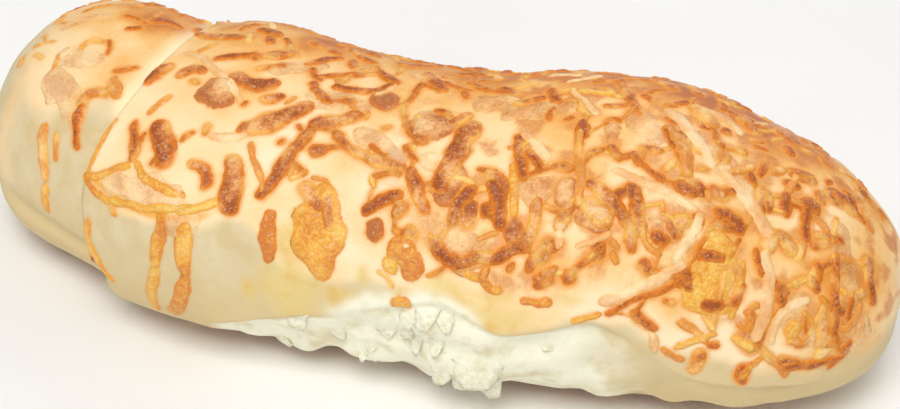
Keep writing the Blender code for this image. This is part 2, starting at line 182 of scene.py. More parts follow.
@dataclass(frozen=True)
class RollForm:
    """The baked dough: a bare bar with its lap, seam, tear, slow swells and small unevenness."""

    left_end: float = -93.6
    right_end: float = 95.0
    stations: Row = (-95, -68, -38, -10, 19, 47, 74, 95)
    half_widths: Row = (26, 29, 34.5, 31.5, 33, 32.5, 29, 26.5)
    heights: Row = (40.5, 44.5, 48.5, 49, 50.5, 51.5, 45.5, 40.5)
    sideways: Row = (10, 4, -2, -2.5, -1.5, 4, 5.5, 6.5)
    centring: tuple[float, float, float] = (-0.8, 0.2, 0.0)
    left_dome: float = 24.0
    left_shoulder: float = 2.5
    right_dome: float = 56.0
    right_shoulder: float = 3.0
    widest_at: float = 0.44
    upper_squareness: float = 2.15
    lower_squareness: float = 2.5
    base_press: float = 1.05
    lap_at: float = -49.0
    lap_jut: float = 7.0
    lap_jut_reach: float = 18.0
    lap_juts_at: float = 68.0
    lap_jut_spread: float = 42.0
    lap_deepest_at: float = 80.0
    lap_mean: float = 0.66
    lap_varies: float = 0.34
    lip_rise: float = 1.4
    lip_fade: float = 7.0
    groove_depth: float = 2.1
    groove_half_width: float = 1.8
    step_depth: float = 1.5
    step_fade: float = 11.0
    seam_from: float = -82.0
    seam_to: float = -48.0
    seam_fade: float = 5.0
    seam_around: float = 93.0
    seam_drop: float = 0.28
    seam_depth: float = 1.5
    seam_half_width: float = 5.0
    swells: Rows = (
        (-68, -25, 1.2, 9, 40), (-51, -30, -2.0, 8, 40), (-36, -22, 0.9, 8, 30),
        (-17, 118, 1.1, 11, 22), (4, 112, -0.7, 9, 25), (5, -25, -0.6, 16, 30),
        (24, -25, 0.9, 9, 30), (68, 108, 1.4, 9, 20),
    )
    lump_height: float = 0.55
    lump_size: float = 17.0
    slope_step: float = 0.5
    tear_stations: Row = (-30, -18, -4, 10, 18, 29, 47, 60, 76, 90)
    tear_tops: Row = (112, 101, 93, 83, 79, 88, 82, 95, 99, 104)
    tear_foot: float = 136.0
    tear_fade: float = 5.0
    tear_from: float = -27.0
    tear_to: float = 84.0
    tear_end_fade: float = 6.0
    tear_hollow: float = 0.2
    crag_height: float = 2.2
    crag_size: float = 7.0
    tear_roughest: float = 10.0
    tear_rough_reach: float = 34.0
    calm_share: float = 0.4
    ledge_rise: float = 1.2
    ledge_fade: float = 9.0
    # small unevenness: (height, size) of the crust's, and of the torn crumb's
    crust_grain: tuple[Span, ...] = ((0.16, 6.0), (0.07, 2.6))
    crumb_grain: tuple[Span, ...] = ((1.0, 6.5), (0.14, 1.7))

    def dome(self, x: Array) -> Array:
        """How much of its full section the roll has at x: 1 in the middle, 0 at both ends."""
        left = np.clip((self.left_end + self.left_dome - x) / self.left_dome, 0, 1)
        right = np.clip((x - self.right_end + self.right_dome) / self.right_dome, 0, 1)
        left_share = (1 - left**self.left_shoulder) ** (1 / self.left_shoulder)
        return left_share * (1 - right**self.right_shoulder) ** (1 / self.right_shoulder)

    def bare(self, along: Array, around: Array) -> Array:
        """Points of the roll before any relief.

        Args:
            along: Millimetres along the roll.
            around: Degrees around it.

        Returns:
            A point for each place, in the last axis.
        """
        theta = np.radians(around)
        jut = self.lap_jut * hump(turned(around, self.lap_juts_at), 0, self.lap_jut_spread)
        x = along - jut * hump(along, self.lap_at, self.lap_jut_reach)
        full = self.dome(x)
        width = smooth_between(self.stations, self.half_widths, x) * full
        height = smooth_between(self.stations, self.heights, x)
        side, up = -np.sin(theta), np.cos(theta)
        power = np.where(up > 0, 2 / self.upper_squareness, 2 / self.lower_squareness)
        y = width * np.sign(side) * np.abs(side) ** power
        reach = np.where(up > 0, 1 - self.widest_at, -self.widest_at * self.base_press)
        z = height * (self.widest_at + full * reach * np.abs(up) ** power)
        y = y + smooth_between(self.stations, self.sideways, x)
        return np.stack(np.broadcast_arrays(x, y, z), axis=-1)

    def slopes(self, along: Array, around: Array) -> tuple[Array, Array]:
        """How the bare roll runs at a place, for each unit of `along` and each degree around."""
        step = self.slope_step
        along = np.clip(along, self.left_end + 2 * step, self.right_end - 2 * step)
        across = self.bare(along + step, around) - self.bare(along - step, around)
        down = self.bare(along, around + step) - self.bare(along, around - step)
        return across / (2 * step), down / (2 * step)

    def normals(self, along: Array, around: Array) -> Array:
        """Outward normals of the bare roll, kept clear of the very tips of its ends."""
        across, down = self.slopes(along, around)
        normal = np.cross(down, across)
        return normal / np.linalg.norm(normal, axis=-1, keepdims=True)

    def spread(self, along: float, around: float) -> Span:
        """Millimetres of crust for each unit of `along` and for each degree around, at a place."""
        across, down = self.slopes(np.asarray(along, float), np.asarray(around, float))
        return float(np.linalg.norm(across)), float(np.linalg.norm(down))

    def lap_relief(self, along: Array, around: Array) -> Array:
        """The lip of the outer layer, the groove beside it and the step down to the inner roll."""
        varies = self.lap_varies * np.cos(np.radians(turned(around, self.lap_deepest_at)))
        past = along - self.lap_at
        lip = self.lip_rise * np.exp(-np.abs(past) / self.lip_fade) * (past >= 0)
        step = -self.step_depth * np.exp(-np.abs(past) / self.step_fade) * (past < 0)
        groove = -self.groove_depth * hump(past, -self.groove_half_width, self.groove_half_width)
        return (self.lap_mean + varies) * (lip + step + groove * (past < 0))

    def seam_relief(self, along: Array, around: Array) -> Array:
        """The crease low on the front of the inner roll."""
        ends = fade(along, self.seam_from, self.seam_fade)
        ends = ends * fade(-along, -self.seam_to, self.seam_fade)
        middle = self.seam_around + self.seam_drop * (along - self.seam_from)
        return -self.seam_depth * ends * hump(turned(around, middle), 0, self.seam_half_width)

    def tear_ends(self, along: Array) -> Array:
        """1 where the roll is torn along its front, 0 beyond the ends of the tear."""
        start = fade(along, self.tear_from, self.tear_end_fade)
        return start * fade(-along, -self.tear_to, self.tear_end_fade)

    def tear_share(self, along: Array, around: Array) -> Array:
        """How much of the torn crumb shows at a place, from 0 to 1."""
        top = smooth_between(self.tear_stations, self.tear_tops, along)
        front = np.abs(turned(around, 90)) < 90
        upper = fade(around, top, self.tear_fade)
        lower = fade(-around, -self.tear_foot, 2 * self.tear_fade)
        return self.tear_ends(along) * front * upper * lower

    def tear_relief(self, along: Array, around: Array, points: Array) -> Array:
        """The hollow and the crags of the torn crumb, under the thick edge of the cheese."""
        share = self.tear_share(along, around)
        rough = self.roughness_of_tear(along)
        crags = noise_over(points, self.crag_size) * self.crag_height * rough - self.tear_hollow
        over_edge = smooth_between(self.tear_stations, self.tear_tops, along) - around
        ledge = self.ledge_rise * self.tear_ends(along) * (around > 0)
        ledge = ledge * np.exp(-np.clip(over_edge, 0, None) / self.ledge_fade)
        return share * crags + (1 - share) * ledge * fade(over_edge, 0, self.tear_fade)

    def roughness_of_tear(self, along: Array) -> Array:
        """How rough the torn crumb is along the roll, from its calm share to 1."""
        rough = hump(along, self.tear_roughest, self.tear_rough_reach)
        return self.calm_share + (1 - self.calm_share) * rough

    def grain(self, along: Array, around: Array, points: Array) -> Array:
        """The small unevenness of the crust, and the rougher grain of the torn crumb."""
        share = self.tear_share(along, around)
        crust = sum(height * noise_over(points, size) for height, size in self.crust_grain)
        crumb = sum(height * noise_over(points + size, size) for height, size in self.crumb_grain)
        return (1 - share) * crust + share * crumb * self.roughness_of_tear(along)

    def surface(self, along: Array, around: Array) -> Array:
        """Points of the crust with all its relief, pressed flat where it stood on the tray.

        Args:
            along: Millimetres along the roll.
            around: Degrees around it.

        Returns:
            A point for each place, in the last axis.
        """
        along, around = np.broadcast_arrays(np.asarray(along, float), np.asarray(around, float))
        points = self.bare(along, around)
        relief = self.lap_relief(along, around) + self.seam_relief(along, around)
        relief = relief + self.tear_relief(along, around, points)
        relief = relief + self.lump_height * noise_over(points, self.lump_size)
        relief = relief + self.grain(along, around, points)
        for middle_along, middle_around, height, reach_along, reach_around in self.swells:
            away = ((along - middle_along) / reach_along) ** 2
            away = away + (turned(around, middle_around) / reach_around) ** 2
            relief = relief + height * np.exp(-away)
        points = points + relief[..., None] * self.normals(along, around) + np.array(self.centring)
        points[..., 2] = np.clip(points[..., 2], 0, None)
        return points


class Kind(Enum):
    """What a piece of topping is, which settles its finish and how it marks the crust beside it."""

    BROWNED = "browned_shreds"
    GOLDEN = "golden_shreds"
    PALE = "pale_shreds"
    MELTED = "melted_runs"
    CRUSTY = "crusty_lumps"
    SHEET = "melted_sheets"


@dataclass(frozen=True)
class Topping:
    """A shred, run or lump that lies on the crust: a round-ended bar bent to an arc."""

    LEAST_CORE: ClassVar[float] = 0.3

    kind: Kind
    along: float
    around: float
    heading: float
    length: float
    bend: float
    width: float
    height: float
    toast: float

    @property
    def core(self) -> float:
        """Half the length of its middle line, between the centres of its round ends."""
        return max(self.length / 2 - self.width / 2, self.LEAST_CORE)

    def end(self, form: RollForm, way: float) -> Span:
        """Where its middle line is: at one end for -1, in the middle for 0, at the other end for 1.

        Args:
            form: The roll it lies on.
            way: Which place is wanted.

        Returns:
            The place, as `along` and `around`.
        """
        start = math.radians(self.heading)
        turn = (math.radians(self.bend) or STRAIGHT) / self.length
        heading = start + turn * way * self.core
        u = (math.sin(heading) - math.sin(start)) / turn
        v = (math.cos(start) - math.cos(heading)) / turn
        per_along, per_degree = form.spread(self.along, self.around)
        return self.along + u / per_along, self.around + v / per_degree


# Shreds of cheese: along, around, heading, length, bend, width.
ShredRow = tuple[float, float, float, float, float, float]

BROWNED_SHREDS: tuple[ShredRow, ...] = (
    # on the inner roll, left of the lap
    (-66, -28, -78, 8, 0, 1.7), (-62, -6, -30, 4, 0, 1.6), (-60, 29, 137, 9, -145, 2.0),
    (-59, 45, 70, 10, -30, 2.0), (-58, -19, -31, 8, 86, 2.1),
    # from the lap to the first third
    (-48, 13, -75, 8, 30, 2.8), (-43, -11, 0, 12, -55, 2.8), (-42, 8, -32, 7, 135, 2.7),
    (-43, 41, 60, 9, 30, 1.9), (-42, 39, 104, 3, 0, 1.2), (-38, 39, 52, 11, 0, 4.0),
    (-35, -2, -24, 11, 12, 1.9), (-34, -20, 0, 6, 0, 3.0), (-29, 8, -10, 11, -80, 3.4),
    (-28, -9, -45, 7, 0, 2.4), (-29, 45, 43, 8, 155, 2.2), (-24, 48, 77, 12, 15, 3.7),
    (-24, 12, -34, 5, 0, 2.5), (-21, 21, -39, 15, -48, 3.8), (-20, -12, -49, 9, 30, 2.0),
    # the middle
    (-16, 36, 107, 18, 17, 2.6), (-16, 6, 40, 9, -45, 1.9), (-15, -4, -29, 8, -17, 1.7),
    (-13, -21, 25, 6, 0, 2.1), (-11, 30, -17, 4, 0, 2.5), (-10, 7, -3, 3, 0, 2.0),
    (-10, 1, -10, 10, -35, 1.9), (-10, 17, -28, 11, -50, 3.0), (-8, 24, 43, 5, 0, 1.8),
    (-6, -9, 31, 7, 0, 2.3), (-1, 30, 13, 16, -46, 2.2), (0, 26, 22, 5, 0, 1.3),
    (1, -2, -82, 10, -31, 1.5), (3, -11, 48, 10, 0, 2.5), (4, 45, -41, 9, 9, 2.8),
    (3, 34, -15, 6, 47, 1.3), (5, 16, 36, 8, -25, 2.3), (7, 47, 81, 3, 0, 1.5),
    (5, -31, 39, 11, 0, 1.8), (6, 25, 41, 5, 0, 1.3), (8, 46, -54, 4, 0, 2.3),
    (10, 38, 54, 11, 0, 2.8), (11, 53, 38, 3, 0, 2.4), (12, 7, -56, 5, 0, 2.1),
    (12, -11, 25, 6, 0, 1.7), (8, 5, 25, 3, 0, 1.8), (14, 23, 95, 17, -14, 3.9),
    (18, 41, 102, 9, -68, 2.5), (21, 27, -4, 4, 0, 1.2), (18, -9, 26, 6, 0, 2.0),
    (19, 61, 12, 12, -155, 2.6), (23, 42, 65, 3.4, 0, 2.1), (24, 31, 52, 8, 85, 2.3),
    (25, 39, 64, 11, 20, 2.9), (26, 21, 68, 12, -15, 2.3), (27, -7, 58, 7, 0, 2.0),
    (29, 56, 152, 8, -25, 2.9), (29, 22, 50, 7, 37, 1.8), (32, 46, 91, 10, 45, 2.3),
    (34, 57, 109, 7, 0, 1.9),
    # the right third
    (35, -21, 11, 6, 0, 2.0), (36, 67, -27, 4, 0, 1.8), (34, 24, 17, 5, 60, 1.8),
    (35, 8, 72, 6, 0, 2.2), (37, 54, -31, 3, 0, 1.6), (36, 64, -35, 5, 0, 2.0),
    (37, 43, 56, 3, 0, 2.6), (39, 3, -21, 5, 221, 1.2), (39, 18, -27, 4, 0, 1.6),
    (40, 64, 63, 3, 0, 2.4), (40, -9, 59, 10, -13, 1.9), (42, 18, 49, 5, 0, 2.0),
    (44, 36, 38, 13, 26, 2.5), (44, 54, -55, 4, 0, 1.5), (44, 45, -24, 8, -250, 1.5),
    (46, 19, 53, 4, 0, 1.6), (48, 14, 0, 5, 0, 2.0), (49, 37, 65, 11, 35, 2.4),
    (49, 47, 70, 7, 35, 2.1), (51, 24, 21, 2.5, 0, 1.6), (52, 10, 54, 12, 4, 2.6),
    (54, 67, -34, 17, -13, 1.3), (54, 77, 30, 6, 0, 2.0), (53, 35, 67, 3, 0, 1.0),
    (54, 46, 13, 4, 0, 2.4), (56, 26, 11, 5, 0, 2.6), (57, 38, -26, 4, 0, 2.6),
    (57, 58, -15, 8, -70, 1.3), (57, -34, -42, 9, 39, 1.9), (59, 3, 15, 2, 0, 1.7),
    (60, 58, 65, 5, 0, 2.1), (61, 44, 103, 6, 0, 0.9), (62, -15, 40, 6, 0, 2.8),
    (63, 1, 23, 2, 0, 1.7), (64, 35, -7, 5, 0, 1.7), (65, 65, -3, 5, 0, 2.6),
    (65, 30, 22, 8, 130, 2.6), (69, 59, 96, 5, 0, 2.0), (70, 17, 65, 5, 0, 1.7),
    (70, -21, 13, 9, -21, 2.0), (74, -3, -25, 5, 0, 2.4), (73, 15, 75, 6, 0, 2.3),
    (74, 76, -66, 4, 0, 1.5), (75, 32, 39, 6, 0, 2.6), (76, 55, 72, 5, 0, 2.4),
    (77, 18, 75, 9, 0, 2.0), (77, 10, -5, 4, 0, 2.8), (78, 48, 61, 2, 0, 1.3),
    (81, 68, 75, 3, 0, 1.0), (81, 46, 38, 4, 0, 1.8), (81, 38, 38, 3, 0, 1.6),
    (82, -3, -16, 6, 0, 3.0), (83, 89, -3, 13, -21, 1.7), (85, 50, 75, 16, 15, 1.9),
    (86, 57, 14, 3, 0, 1.7), (86, 77, -5, 4, 0, 1.5), (90, 34, 53, 10, 43, 2.2),
)

GOLDEN_SHREDS: tuple[ShredRow, ...] = (
    (-73, 21, -98, 4, 0, 1.3), (-68, 7, -48, 7, 135, 1.4), (-67, 62, 77, 12, 0, 2.5),
    (-63, 57, 75, 6, 0, 1.6), (-56, 23, 51, 6, 0, 2.8), (-43, 25, -67, 6, 40, 1.5),
    (-43, -4, -61, 5, 0, 1.3), (-21, 40, 57, 11, 8, 1.5), (-13, 41, -43, 4, 0, 1.7),
    (1, 38, 63, 3, 0, 1.1), (8, 54, 0, 2, 0, 1.6), (32, -4, 58, 11, -10, 1.7),
    (34, 40, 27, 3, 0, 1.6), (37, 24, 74, 18, 4, 1.9), (52, 49, 45, 7, -100, 1.4),
    (53, 11, 58, 14, 28, 2.8), (54, -8, 43, 8, 0, 4.0), (61, -17, 0, 4, 0, 3.6),
    (65, 73, -137, 4, 0, 1.6), (66, 57, -90, 6, 0, 1.5), (68, 50, 65, 4, 0, 1.9),
    (72, 34, 67, 5, 0, 3.8), (82, 67, 86, 7, 160, 1.3),
)

PALE_SHREDS: tuple[ShredRow, ...] = (
    (-37, 6, 30, 22, 36, 2.1), (-28, 31, -10, 8, -40, 2.3), (11, 25, -6, 4, 0, 2.6),
    (26, -24, -8, 7, 0, 2.4), (28, 16, 44, 10, 17, 2.1), (33, -4, 46, 10, 0, 1.5),
    (37, 51, 69, 4, 0, 1.9), (43, 51, -28, 7, -9, 1.5), (51, 28, 13, 18, 10, 2.0),
    (53, 64, -37, 18, -29, 2.6), (54, 3, 45, 18, 34, 2.8), (57, -12, 13, 12, 80, 2.3),
    (59, 43, 105, 11, 36, 2.1), (68, 22, 40, 18, 57, 2.9), (74, 57, 85, 17, 50, 2.6),
    (77, 64, -60, 12, 73, 2.1),
)

MELTED_RUNS: tuple[ShredRow, ...] = (
    (-66, 83, 94, 7, -15, 1.8), (-48.4, 48, 90, 12, 0, 0.9), (-48.2, 90, 84, 20, -50, 1.8),
    (-45, 57, -30, 12, -28, 1.4), (-44, 66, 5, 14, -59, 1.3), (-42, 69, 62, 3, 0, 1.5),
    (-37, 99, 109, 14, -17, 2.1), (-36, 54, 15, 14, -39, 1.6), (-36, 63, -11, 19, -15, 1.5),
    (-34, 75, 100, 12, 32, 2.3), (-32, 99, 118, 14, 14, 2.5), (-30, 76, 92, 11, -16, 2.7),
    (-28, 58, -26, 10, -15, 1.6), (1, 38, 68, 3, 0, 1.2), (8, 67, 43, 4, 0, 2.8),
    (11, 80, 8, 4, 0, 2.4), (17, 58, 42, 8, -22, 1.3), (24, 66, 15, 5, 0, 1.4),
    (26, 68, 52, 7, -120, 1.6), (27, 33, 72, 12, 14, 1.5), (34, -10, 1, 8, 0, 1.7),
    (35, 74, 3, 6, 0, 1.6), (44, 78, -15, 6, 0, 1.2), (47, 56, 57, 3, 0, 1.2),
    (63, 81, -28, 9, 0, 1.3), (69, 57, 90, 11, 30, 1.2), (71, 79, 28, 5, 0, 1.8),
    (72, 69, 77, 4, 0, 1.8), (73, 88, -41, 6, 0, 1.3), (79, 70, -74, 4, 0, 2.6),
    (83, 53, 23, 1.5, 0, 1.3), (86, 46, 53, 2, 0, 1.3),
)

# Pools and lumps where the cheese ran together, and browned patches, by kind:
# along, around, turned, length, width, height, toast.
POOLS: tuple[tuple[Kind, Rows], ...] = (
    (Kind.SHEET, (
        (-74, -4, -41, 12.0, 3.6, 0.2, 0.4), (-68, 16, -12, 12.0, 6.5, 0.2, 0.4),
        (-66, 34, 20, 15.0, 8.0, 0.35, 0.3), (-38, 58, -4, 19.0, 6.4, 0.4, 0.15),
        (-31, 65, -17, 8.0, 5.0, 0.4, 0.12), (-23, -4, -30, 12.0, 5.0, 0.2, 0.5),
        (-12, 8, 0, 14.0, 6.0, 0.2, 0.3), (0, 24, 27, 15.0, 5.2, 0.35, 0.5),
        (2, -14, 20, 12.0, 6.0, 0.2, 0.4), (7, 12, 34, 9.0, 6.0, 0.4, 0.5),
        (11, 27, 4, 6.0, 4.6, 0.4, 0.2), (17, -3, -22, 10.0, 6.0, 0.35, 0.5),
        (20, 56, 23, 11.0, 6.4, 0.4, 0.5), (24, 1, -12, 10.0, 6.4, 0.35, 0.45),
        (29, -1, -14, 8.0, 5.0, 0.35, 0.4), (30, 33, 20, 8.0, 5.4, 0.4, 0.5),
        (40, 9, 74, 6.0, 3.0, 0.35, 0.4), (46, 5, 50, 12.0, 6.0, 0.2, 0.4),
        (54, 43, 9, 8.0, 5.0, 0.35, 0.45), (62, 12, 40, 13.0, 6.0, 0.2, 0.4),
        (80, 70, 49, 8.0, 5.5, 0.35, 0.35), (84, 25, 60, 12.0, 7.0, 0.2, 0.5),
        (87, 43, 36, 9.0, 6.0, 0.35, 0.5), (89, 70, 78, 10.0, 6.5, 0.35, 0.45),
    )),
    (Kind.CRUSTY, ((-34, 15, 40, 8.0, 6.8, 0.8, 0.4),)),
    (Kind.BROWNED, (
        (55, -5, 66, 5.5, 4.0, 0.2, 0.45), (61, -18, -37, 6.5, 4.0, 0.2, 0.45),
        (53, 8, 68, 7.5, 3.4, 0.2, 0.50), (56, 41, 67, 5.0, 4.2, 0.2, 0.50),
        (65, 31, 6, 5.5, 4.2, 0.2, 0.60), (74, -2, -8, 6.5, 3.4, 0.2, 0.50),
        (77, 11, 71, 5.5, 4.2, 0.2, 0.50), (81, -2, 16, 5.5, 4.6, 0.2, 0.45),
        (58, 24, 22, 4.5, 3.6, 0.2, 0.55), (89, 24, 69, 4.5, 3.6, 0.2, 0.50),
        (72, 78, 54, 5.5, 3.6, 0.2, 0.35), (63, 64, -12, 6.0, 3.4, 0.2, 0.50),
        (59, 58, 80, 4.0, 3.2, 0.2, 0.40), (79, 87, 1, 5.0, 2.8, 0.2, 0.40),
        (69, 17, 69, 6.0, 2.6, 0.2, 0.35), (75, 33, 42, 5.0, 3.0, 0.2, 0.65),
        (44, 54, 68, 5.0, 3.2, 0.2, 0.45), (53, 57, 49, 4.0, 3.0, 0.2, 0.40),
        (35, 55, 96, 6.0, 3.4, 0.2, 0.45), (29, 50, 76, 7.0, 3.6, 0.2, 0.50),
        (20, 44, 95, 5.5, 3.4, 0.2, 0.40), (41, 39, 52, 4.5, 3.4, 0.2, 0.40),
    )),
    (Kind.CRUSTY, ((-54, 105, -12, 4.0, 2.6, 0.8, 0.8),)),
    (Kind.MELTED, (
        (-16, 66, 87, 10.5, 3.6, 0.4, 0.75), (-6.5, 62, 84, 18.0, 9.2, 0.65, 0.36),
    )),
    (Kind.BROWNED, (
        (-9.5, 48, 35, 7.0, 3.4, 0.25, 0.4), (-5.5, 52, 80, 8.0, 2.6, 0.25, 0.35),
    )),
    (Kind.CRUSTY, (
        (-4, 3, 30, 6.5, 5.0, 0.5, 0.5), (4, 55, 80, 4.4, 3.6, 0.6, 0.75),
        (8, 13, 0, 8.0, 6.8, 0.6, 0.4),
    )),
    (Kind.MELTED, ((11, 63, 50, 8.4, 5.2, 0.6, 0.6),)),
    (Kind.CRUSTY, (
        (15, 34, 85, 9.0, 5.6, 0.5, 0.5), (36, 34, 80, 6.4, 3.8, 0.35, 0.35),
        (37, 43, 100, 6.6, 3.6, 0.35, 0.25), (42, 43, 17, 8.0, 5.2, 0.4, 0.3),
    )),
    (Kind.MELTED, ((64, 54, 82, 15.5, 9.0, 0.4, 0.3),)),
)

# How toasted each kind of shred is in the middle of its range.
TOAST = {Kind.BROWNED: 0.52, Kind.GOLDEN: 0.45, Kind.PALE: 0.35, Kind.MELTED: 0.3, Kind.SHEET: 0.4}


@dataclass(frozen=True)
class CheeseScatter:
    """Draws where the toppings lie: listed ones, strewn ones and those that join others."""

    least_height: float = 0.15
    height_per_width: float = 0.1
    pale_share: float = 0.7
    browned_wider: float = 1.1
    melted_wider: float = 1.25
    tier_seed: int = 7
    tier_count: int = 22
    tiers: int = 3
    tier_along: Span = (-70.0, 82.0)
    tier_around: Span = (-92.0, -30.0)
    tier_lengths: Span = (7.0, 14.0)
    tier_bends: Span = (-70.0, 70.0)
    tier_widths: Span = (1.9, 2.9)
    tier_jitter: Span = (0.25, 0.75)
    tier_kinds: tuple[Kind, ...] = (Kind.BROWNED, Kind.BROWNED, Kind.GOLDEN)
    headings: Span = (0, 180)
    toasts: Span = (-0.2, 0.2)
    strewn_seed: int = 31
    strewn_end: float = 89.0
    strewn_tries: int = 40
    strewn_bends: Span = (-80, 80)
    strewn_kinds: tuple[Kind, ...] = (Kind.BROWNED, Kind.GOLDEN, Kind.PALE)
    strewn_odds: Row = (0.66, 0.3, 0.04)
    strewn_share: float = 0.8
    bridge_seed: int = 4
    bridge_reach: Span = (1.5, 7.5)
    bridges_from: float = -14.0
    bridge_chance: float = 0.8
    bridges_browned: float = 0.65
    bridge_widths: Span = (0.55, 0.95)
    bridge_bends: Span = (-50, 50)
    bridge_toasts: Span = (-0.25, 0.1)
    bridge_share: float = 0.75
    sheet_seed: int = 12
    sheet_count: int = 26
    sheet_around: Span = (-96.0, -24.0)
    sheet_lengths: Span = (8.0, 15.0)
    sheet_widths: Span = (4.5, 7.5)
    sheet_toasts: Span = (-0.15, 0.2)
    sheet_height: float = 0.3
    # each strewn area: how many, along from and to, around from and to, length, width, free space
    strewn: Rows = (
        (120, -84, 88, -106, -20, 4.0, 12.0, 1.5, 3.0, 2.4),
        (26, -45, 50, -34, 0, 3.0, 8.0, 1.3, 2.4, 2.6),
        (66, 56, 93, -28, 92, 1.8, 7.5, 1.2, 2.6, 2.0),
        (34, 0, 70, -20, 72, 1.6, 5.0, 1.0, 1.7, 2.0),
        (14, -84, -56, -40, 30, 2.5, 7.0, 1.0, 2.0, 2.6),
        (14, -46, 0, 0, 48, 1.5, 4.0, 0.9, 1.4, 3.4),
    )

    def height_of(self, width: float) -> float:
        """How high a shred of this width stands."""
        return self.least_height + self.height_per_width * width

    def laid(self, kind: Kind, rows: tuple[ShredRow, ...]) -> list[Topping]:
        """Toppings from listed rows of one kind, each toasted a little differently."""
        draw = random.Random(kind.value)
        flatter = self.pale_share if kind is Kind.PALE else 1.0
        wider = {Kind.BROWNED: self.browned_wider, Kind.MELTED: self.melted_wider}.get(kind, 1.0)
        found = []
        for *place, width in rows:
            toast = TOAST[kind] + draw.uniform(*self.toasts)
            height = flatter * self.height_of(width)
            found.append(Topping(kind, *place, wider * width, height, toast))
        return found

    def pools(self) -> list[Topping]:
        """The pools and lumps, as short broad toppings."""
        return [
            Topping(kind, along, around, turn, length, 0.0, width, height, toast)
            for kind, rows in POOLS
            for along, around, turn, length, width, height, toast in rows
        ]

    def tiered(self) -> list[Topping]:
        """The larger shreds on the back, one for each even share of its length, tier by tier."""
        draw = random.Random(self.tier_seed)
        found = []
        for index in range(self.tier_count):
            share = (index + 0.5) / self.tier_count
            along = self.along_at(share)
            tier = (index % self.tiers + draw.uniform(*self.tier_jitter)) / self.tiers
            around = self.tier_around[0] + (self.tier_around[1] - self.tier_around[0]) * tier
            heading = draw.uniform(*self.headings)
            reaches = (self.tier_lengths, self.tier_bends, self.tier_widths)
            length, bend, width = (draw.uniform(*reach) for reach in reaches)
            kind = self.tier_kinds[index % len(self.tier_kinds)]
            sizes = (length, bend, width, self.height_of(width))
            found.append(Topping(kind, along, around, heading, *sizes, TOAST[kind]))
        return found

    def along_at(self, share: float) -> float:
        """Where a share of the back's length is, as `along`."""
        return self.tier_along[0] + (self.tier_along[1] - self.tier_along[0]) * share

    def scattered(self, form: RollForm, taken: list[Topping]) -> list[Topping]:
        """Smaller shreds strewn where there is room.

        Args:
            form: The roll they lie on.
            taken: What already lies there.

        Returns:
            The strewn shreds, in the order in which they were drawn.
        """
        draw = random.Random(self.strewn_seed)
        spots = [form.surface(t.along, t.around) for t in taken]
        found = []
        for count, left_end, right_end, back, front, *sizes, room in self.strewn:
            short, long, thin, thick = sizes
            left = int(count)
            for _ in range(self.strewn_tries * left):
                if not left:
                    break
                along, around = draw.uniform(left_end, right_end), draw.uniform(back, front)
                length, width = draw.uniform(short, long), draw.uniform(thin, thick)
                heading, bend = draw.uniform(*self.headings), draw.uniform(*self.strewn_bends)
                kind = draw.choices(self.strewn_kinds, self.strewn_odds)[0]
                toast = TOAST[kind] + draw.uniform(*self.toasts)
                spot = form.surface(along, around)
                if min(float(np.linalg.norm(spot - other)) for other in spots) < room:
                    continue
                height = self.strewn_share * self.height_of(width)
                size = (length, bend, width, height)
                found.append(Topping(kind, along, around, heading, *size, toast))
                spots.append(spot)
                left -= 1
        return found

    def bridged(self, form: RollForm, shreds: list[Topping]) -> list[Topping]:
        """Short shreds that join the ends of others to their neighbours, so that they form a net.

        Args:
            form: The roll they lie on.
            shreds: The shreds that are joined.

        Returns:
            The joining shreds.
        """
        draw = random.Random(self.bridge_seed)
        least, most = self.bridge_reach
        ends = [(shred, *shred.end(form, way)) for shred in shreds for way in (-1, 1)]
        marks = [(shred, *shred.end(form, way)) for shred in shreds for way in (-1, 0, 1)]
        found = []
        for shred, along, around in ends:
            per_along, per_degree = form.spread(along, around)
            gaps = []
            for other, other_along, other_around in marks:
                u, v = (other_along - along) * per_along, (other_around - around) * per_degree
                if other is not shred and least < math.hypot(u, v) < most:
                    gaps.append((math.hypot(u, v), u, v, other))
            if not gaps or along < self.bridges_from or draw.random() > self.bridge_chance:
                continue
            gap, u, v, other = min(gaps, key=lambda found_gap: found_gap[0])
            width = min(shred.width, other.width) * draw.uniform(*self.bridge_widths)
            heading, bend = math.degrees(math.atan2(v, u)), draw.uniform(*self.bridge_bends)
            place = (along + u / 2 / per_along, around + v / 2 / per_degree)
            kind = Kind.BROWNED if draw.random() < self.bridges_browned else Kind.GOLDEN
            toast = TOAST[kind] + draw.uniform(*self.bridge_toasts)
            height = self.bridge_share * self.height_of(width)
            found.append(Topping(kind, *place, heading, gap + width, bend, width, height, toast))
        return found

    def strewn_sheets(self) -> list[Topping]:
        """Thin melted sheets strewn evenly over the back."""
        draw = random.Random(self.sheet_seed)
        found = []
        for index in range(self.sheet_count):
            along = self.along_at((index + 0.5) / self.sheet_count)
            around = draw.uniform(*self.sheet_around)
            length, width = draw.uniform(*self.sheet_lengths), draw.uniform(*self.sheet_widths)
            turn = draw.uniform(*self.headings)
            toast = TOAST[Kind.SHEET] + draw.uniform(*self.sheet_toasts)
            sizes = (length, 0.0, width, self.sheet_height)
            found.append(Topping(Kind.SHEET, along, around, turn, *sizes, toast))
        return found

    def all_toppings(self, form: RollForm) -> list[Topping]:
        """Every topping, in the order in which they lie on each other."""
        lower = self.strewn_sheets() + self.pools() + self.tiered()
        middle = self.laid(Kind.MELTED, MELTED_RUNS) + self.laid(Kind.BROWNED, BROWNED_SHREDS)
        upper = self.laid(Kind.GOLDEN, GOLDEN_SHREDS) + self.laid(Kind.PALE, PALE_SHREDS)
        strewn = self.scattered(form, lower + middle + upper)
        strewn = [t for t in strewn if t.along < self.strewn_end]
        shreds = [t for t in middle + upper if t.kind in (Kind.BROWNED, Kind.GOLDEN)]
        return lower + strewn + self.bridged(form, shreds) + middle + upper


